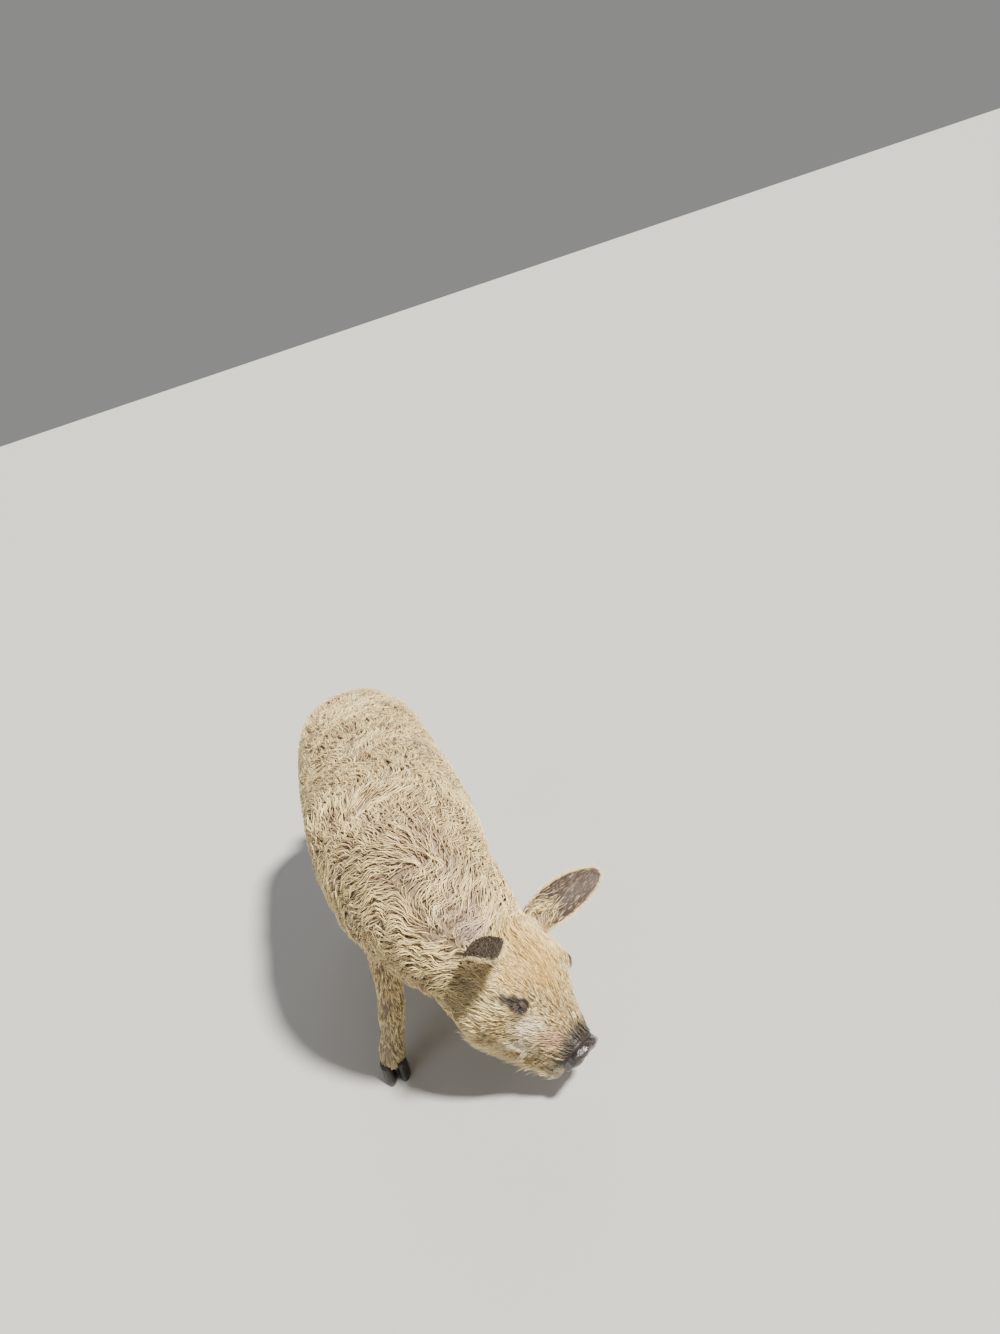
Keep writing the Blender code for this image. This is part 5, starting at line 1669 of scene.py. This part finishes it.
@dataclass
class Wool:
    """Where each kind of hair grows on this animal."""

    under: Hair = Hair("coat_under", 12500, (0.022, 0.032), 0.0022, (0.0025, 0.0062), 5,
                       0.0026, 0.0012, 0.025, 0.34, 2400, 0.20)
    over: Hair = Hair("coat_over", 15000, (0.032, 0.048), 0.0015, (0.0058, 0.0102), 7,
                      0.0044, 0.0016, 0.026, 0.20, 3000, 0.42)
    cheek: Hair = Hair("coat_cheek", 5300, (0.017, 0.028), 0.0014, (0.0015, 0.0058), 5,
                       0.0024, 0.0008, 0.022, 0.22, 1300, 0.45)
    face: Hair = Hair("coat_face", 15000, (0.011, 0.019), 0.0011, (0.0007, 0.0042), 4,
                      0.0014, 0.0003, 0.018, 0.26, 2200, 0.62)
    legs: Hair = Hair("coat_legs", 11000, (0.012, 0.020), 0.0019, (0.0008, 0.0034), 4,
                      0.0014, 0.0004, 0.018, 0.22, 2000, 0.40)
    coronet: Hair = Hair("coat_coronet", 500, (0.009, 0.015), 0.0012, (0.0008, 0.0020), 5,
                         0.0006, 0.0003, 0.012, 0.20, 120, 0.40)
    ears_out: Hair = Hair("coat_ears_outer", 3600, (0.008, 0.013), 0.0009, (0.0004, 0.0034), 4,
                          0.0003, 0.0002, 0.010, 0.26)
    ears_in: Hair = Hair("coat_ears_inner", 1300, (0.007, 0.013), 0.0006, (0.0003, 0.0014), 5,
                         0.0004, 0.0002, 0.012, 0.20, 260, 0.5)
    tail: Hair = Hair("coat_tail", 1100, (0.007, 0.012), 0.0012, (0.0005, 0.0020), 5,
                      0.0008, 0.0004, 0.012, 0.3)
    fringe: Hair = Hair("coat_fringe", 1300, (0.016, 0.031), 0.0009, (0.0010, 0.0030), 6,
                        0.0012, 0.0006, 0.016, 0.28, 260, 0.50)
    whiskers: Hair = Hair("coat_whiskers", 170, (0.016, 0.032), 0.0005, (0.0005, 0.0010), 6,
                          0.0004, 0.0002, 0.030, 0.50)
    lips: Hair = Hair("coat_lips", 300, (0.009, 0.017), 0.0009, (0.0008, 0.0026), 6,
                      0.0010, 0.0005, 0.014, 0.40, 60, 0.50)
    tassel: Hair = Hair("coat_tassel", 320, (0.014, 0.026), 0.0012, (0.0010, 0.0040), 6,
                        0.0012, 0.0010, 0.014, 0.40, 50, 0.60)
    ear_base: Hair = Hair("coat_ear_base", 170, (0.012, 0.022), 0.0008, (0.0010, 0.0040), 6,
                          0.0010, 0.0006, 0.014, 0.35, tip_lift=0.004)
    lash: tuple = (26, 0.0075, 0.00050)
    rim: tuple = (420, 0.0050, 0.0100, 0.0006)
    nose_edge: float = 0.1905
    chin: float = -0.034
    mouth_bare: float = 0.0014
    eye_bare: tuple = (0.0106, 0.0052)
    tassel_reach: float = 0.016

    def grow(self, skin: bpy.types.Object) -> list[bpy.types.Object]:
        """Grow the whole coat.

        Args:
            skin: The finished skin.

        Returns:
            The coat's pieces.
        """
        coat = Coat(skin)
        places = coat.middles
        ahead, aside, over = HEAD.seen(places).T
        ears = Skin.on_ears(places, -0.008).astype(float)
        inward = self.inward(coat)
        tail = self.near_tail(places)
        end = np.linalg.norm(places - TRUNK.tail_line()[-1], axis=1) < self.tassel_reach
        in_head = np.hypot(aside, over) < 0.15
        high = places[:, 2]
        on_leg = near_legs(places) * (1 - share(ahead, 0.0, 0.05) * in_head)
        legs = on_leg * share(high, 0.270, 0.215)
        rest = (1 - ears) * (1 - tail)
        trunk = rest * (1 - on_leg * share(high, 0.200, 0.150)) * (1 - share(ahead, 0.030, 0.065) * in_head)
        trunk = trunk * (1 + 0.55 * share(ahead, -0.10, -0.02) * in_head)
        thin = 1 - 0.20 * share(swell(places, 0.13, 21), 0.2, 0.8)
        rest = rest * self.bare(places, ahead, aside, over)
        cheek = rest * share(ahead, 0.010, 0.045) * share(ahead, 0.100, 0.075) * in_head
        face = rest * share(ahead, 0.045, 0.080) * in_head * (1 - 0.5 * share(ahead, 0.150, 0.185))
        jaw = rest * (over < -0.045) * share(ahead, 0.075, 0.100) * (ahead < 0.205) * in_head
        muzzle = rest * (ahead > 0.135) * (ahead < 0.186) * (over < 0.012)
        lips = rest * (ahead > 0.168) * (over < -0.020) * in_head
        for hair, region, wanted, seed, stand in (
            (self.under, Region.TRUNK, trunk, 1, 0.0),
            (self.over, Region.TRUNK, trunk * thin, 2, 0.0),
            (self.cheek, Region.HEAD, cheek, 3, 0.0),
            (self.face, Region.HEAD, face, 4, 0.0),
            (self.legs, Region.LEGS, legs * (high > 0.024), 5, 0.0),
            (self.coronet, Region.LEGS, legs * (high > 0.026) * (high < 0.040), 6, 0.16),
            (self.ears_out, Region.EARS, ears * (1 - inward), 7, 0.0),
            (self.ears_in, Region.EARS, ears * inward, 12, 0.0),
            (self.tail, Region.TAIL, tail, 8, 0.0),
            (self.fringe, Region.HEAD, jaw, 9, 0.42),
            (self.whiskers, Region.HEAD, muzzle, 10, 0.75),
            (self.lips, Region.HEAD, lips, 13, 0.62),
            (self.tassel, Region.TAIL, end.astype(float), 11, 0.55),
        ):
            coat.grow(hair, region, wanted, seed, stand)
        self.ear_hair(coat)
        self.lashes(coat)
        return coat.pieces

    @staticmethod
    def inward(coat: Coat) -> np.ndarray:
        """Tell which of the ears' faces lie on their inner side."""
        faces = np.array([plan.facing() for plan in EARS])[nearer_ear(coat.middles)]
        return (np.sum(coat.facing * faces, axis=1) > 0).astype(float)

    @staticmethod
    def near_tail(places: np.ndarray) -> np.ndarray:
        """Tell which places lie on the free part of the tail."""
        line = TRUNK.tail_line()[7:]
        far = np.min(np.linalg.norm(places[:, None] - line[None], axis=2), axis=1)
        return (far < 0.0125).astype(float)

    def bare(self, places: np.ndarray, ahead: np.ndarray, aside: np.ndarray, over: np.ndarray) -> np.ndarray:
        """Tell where the face may carry hair: not in the eyes, on the mouth line or at the nose disc."""
        free = ((ahead < self.nose_edge) | (over < self.chin)).astype(float)
        free *= (mouth_distance(ahead, over, 30) > self.mouth_bare) | (np.abs(aside) < 0.006)
        for which in (-1, 1):
            level, high, out = by_eye(places, which)
            free *= (np.hypot(level / self.eye_bare[0], high / self.eye_bare[1]) > 1) | (out < 0)
        return free

    def ear_hair(self, coat: Coat) -> None:
        """Grow the pale hairs on the ears' rims and the long ones inside their roots."""
        chance = np.random.default_rng(SEED + 5)
        count, shortest, longest, width = self.rim
        for number, plan in enumerate(EARS):
            leaf = plan.leaf(80, 24)
            face = plan.facing()
            for edge, within in ((0, 1), (-1, -2)):
                steps = np.sort(chance.uniform(5, 79, count))
                line, inner = leaf[:, edge], leaf[:, within]
                low = steps.astype(int)
                part = (steps - low)[:, None]
                roots = line[low] * (1 - part) + line[np.minimum(low + 1, 79)] * part
                out = unit(line[low] - inner[low])
                onward = unit(np.gradient(line, axis=0))[low]
                way = unit(out * 0.75 + onward * 0.75 + chance.normal(0, 0.28, (count, 3)))
                long = chance.uniform(shortest, longest, (count, 1))
                along = np.linspace(0, 1, 5)
                reach = along[None, :, None] * long[:, None]
                bend = onward[:, None] * reach * along[None, :, None] * 0.5
                hairs = roots[:, None] - out[:, None] * 0.0015 + way[:, None] * reach + bend
                outward = np.repeat((face + out * 0.2)[:, None], 5, axis=1)
                wide = width * chance.uniform(0.7, 1.2, (count, 1)) * (1.05 - 0.5 * along[None])
                name = f"coat_rim_{number + 1}{'a' if edge == 0 else 'b'}"
                coat.keep(name, Region.EARS, roots, hairs, unit(outward), wide, chance.random(count) * 0.5)
            root = plan.middle(0.10)[0]
            near = share(np.linalg.norm(coat.middles - root, axis=1), 0.042, 0.020)
            inside = share(coat.facing @ face, 0.1, 0.6)
            named = replace(self.ear_base, name=f"coat_ear_base_{number + 1}")
            coat.grow(named, Region.EARS, near * inside, 30 + number, 0.35)

    def lashes(self, coat: Coat) -> None:
        """Set a row of lashes along each upper lid."""
        chance = np.random.default_rng(SEED + 9)
        count, long, width = self.lash
        skin = Skin()
        for number, which in enumerate((-1, 1)):
            centre, look, along, upward = eye_frame(which)
            angle = np.linspace(0.16, 0.84, count) * math.pi + chance.normal(0, 0.02, count)
            level = np.cos(angle) * skin.slit[0] * 1.04
            high = np.sin(angle) ** 1.25 * skin.slit[1] * 1.24
            out = np.sqrt(HEAD.eye_radius**2 - level**2 - high**2)
            ways = unit(np.outer(level, along) + np.outer(high, upward) + np.outer(out, look))
            roots = centre + ways * (HEAD.eye_radius + 0.0016)
            reach = np.linspace(0, 1, 6)[None, :, None] * long * chance.uniform(0.7, 1.1, (count, 1, 1))
            start = unit(look * 0.9 + upward * 0.10 + ways * 0.5 + chance.normal(0, 0.10, (count, 3)))
            droop = (upward * 0.35 - look * 0.10)[None, None] * reach**2 / long
            hairs = roots[:, None] + start[:, None] * reach + droop
            outward = np.repeat(np.repeat(upward[None, None], count, axis=0), 6, axis=1)
            wide = np.full((count, 6), width) * (1 - 0.5 * np.linspace(0, 1, 6))[None]
            coat.keep(f"lashes_{number + 1}", Region.HEAD, roots, hairs, outward, wide, chance.random(count))


@dataclass(frozen=True)
class Studio:
    """The pale floor, the soft lights and the camera where the photo was taken from."""

    eye: tuple = (0.030, -1.647, 1.12)
    yaw: float = math.radians(5.7)
    pitch: float = math.radians(21.0)
    roll: float = math.radians(18.5)
    focal_pixels: float = 1072.0
    sensor: float = 36.0
    suns: tuple = (
        ("key", (1.25, -1.20, 2.10), 12.5, 6.0, (1.0, 0.955, 0.85)),
        ("fill", (-1.90, -1.30, 1.20), 0.90, 50.0, (0.93, 0.96, 1.0)),
        ("back", (0.20, 2.00, 1.50), 0.80, 40.0, (1.0, 1.0, 1.0)),
    )
    world: Colour = (0.80, 0.80, 0.79)
    world_strength: float = 0.34

    def build(self) -> None:
        """Add the floor, the lights, the world and the camera."""
        bpy.ops.mesh.primitive_plane_add(size=60, location=(0, 0, 0))
        floor = bpy.context.object
        floor.name = "floor"
        floor.data.materials.append(FloorFinish().make())
        for name, place, power, angle, colour in self.suns:
            bpy.ops.object.light_add(type="SUN", location=place)
            light = bpy.context.object
            light.name = name
            light.data.energy, light.data.angle, light.data.color = power, math.radians(angle), colour
            light.rotation_euler = (-light.location).to_track_quat("-Z", "Y").to_euler()
        world = bpy.data.worlds.new("studio")
        world.use_nodes = True
        backdrop = world.node_tree.nodes["Background"]
        backdrop.inputs["Color"].default_value = (*self.world, 1)
        backdrop.inputs["Strength"].default_value = self.world_strength
        bpy.context.scene.world = world
        self.camera()

    def camera(self) -> None:
        """Set the camera that sees the pig as the photo does."""
        level = math.cos(self.pitch)
        ahead = np.array([math.sin(self.yaw) * level, math.cos(self.yaw) * level, -math.sin(self.pitch)])
        right = np.array([math.cos(self.yaw), -math.sin(self.yaw), 0.0])
        down = np.cross(ahead, right)
        rolled = right * math.cos(self.roll) + down * math.sin(self.roll)
        downward = -right * math.sin(self.roll) + down * math.cos(self.roll)
        turn = Matrix([rolled, -downward, -ahead]).transposed()
        bpy.ops.object.camera_add()
        camera = bpy.context.object
        camera.matrix_world = Matrix.Translation(self.eye) @ turn.to_4x4()
        camera.data.sensor_fit = "VERTICAL"
        camera.data.sensor_width = camera.data.sensor_height = self.sensor
        camera.data.lens = self.sensor * self.focal_pixels / PHOTO_HEIGHT
        bpy.context.scene.camera = camera


# How far an eye's clear front stands out of its ball.
EYE_FRONT = 0.0005


def make_eye(which: int, name: str) -> bpy.types.Object:
    """Make one eyeball with a slightly raised clear front."""
    centre, look, along, _ = eye_frame(which)
    eye = Bench.ball("visual_" + name, centre, HEAD.eye_radius, 48)
    places = Bench.corners(eye)
    out = (places - centre) @ look / HEAD.eye_radius
    Bench.place(eye, places + look * (EYE_FRONT * share(out, 0.70, 0.98))[:, None])
    Bench.smooth(eye)
    front = centre + look * (HEAD.eye_radius + EYE_FRONT)
    finish = EyeFinish(name + "_finish", tuple(float(v) for v in front), tuple(float(v) for v in along))
    eye.data.materials.append(finish.make())
    return eye


def ride(piece: bpy.types.Object, nodes: Sequence[str] = ()) -> None:
    """Hang a finished piece on the frame, and hide the frame's nodes that it stands for."""
    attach(piece, "root")
    if nodes:
        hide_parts(*nodes)


def make_feet(horn: bpy.types.Material) -> None:
    """Make all claws and dewclaws."""
    for leg in LEGS:
        for which, place in ((-1, "a"), (1, "b")):
            for maker, kind in ((Claw(), "claw"), (Dewclaw(), "dewclaw")):
                name = f"{kind}_{leg.name}_{place}"
                piece = maker.build(leg, which, name)
                piece.data.materials.append(horn)
                ride(piece, [name])


def main() -> None:
    """Build every piece, then add the floor, the lights and the camera."""
    logging.basicConfig(level=logging.INFO, format="%(message)s")
    skin = Skin().build()
    skin.data.materials.clear()
    skin.data.materials.append(SkinFinish().make())
    skin.data.polygons.foreach_set("material_index", np.zeros(len(skin.data.polygons), np.int32))
    ride(skin, ("torso", "neck", "head", "tail", "ear_left", "ear_right", *FEET))
    log.info("skin: %d faces", len(skin.data.polygons))
    for which, name in ((-1, "eye_right"), (1, "eye_left")):
        ride(make_eye(which, name), [name])
    snout = Snout().build()
    snout.data.materials.append(NoseFinish().make())
    ride(snout, ["snout"])
    make_feet(HoofFinish().make())
    coats = {kind: finish.make() for kind, finish in HAIR_FINISHES.items()}
    for piece in Wool().grow(skin):
        kind = next((name for name in coats if piece.name.startswith(name)), "coat")
        piece.data.materials.append(coats[kind])
        ride(piece)
        log.info("%s: %d triangles", piece.name, len(piece.data.polygons))
    Studio().build()


if __name__ == "__main__":
    main()
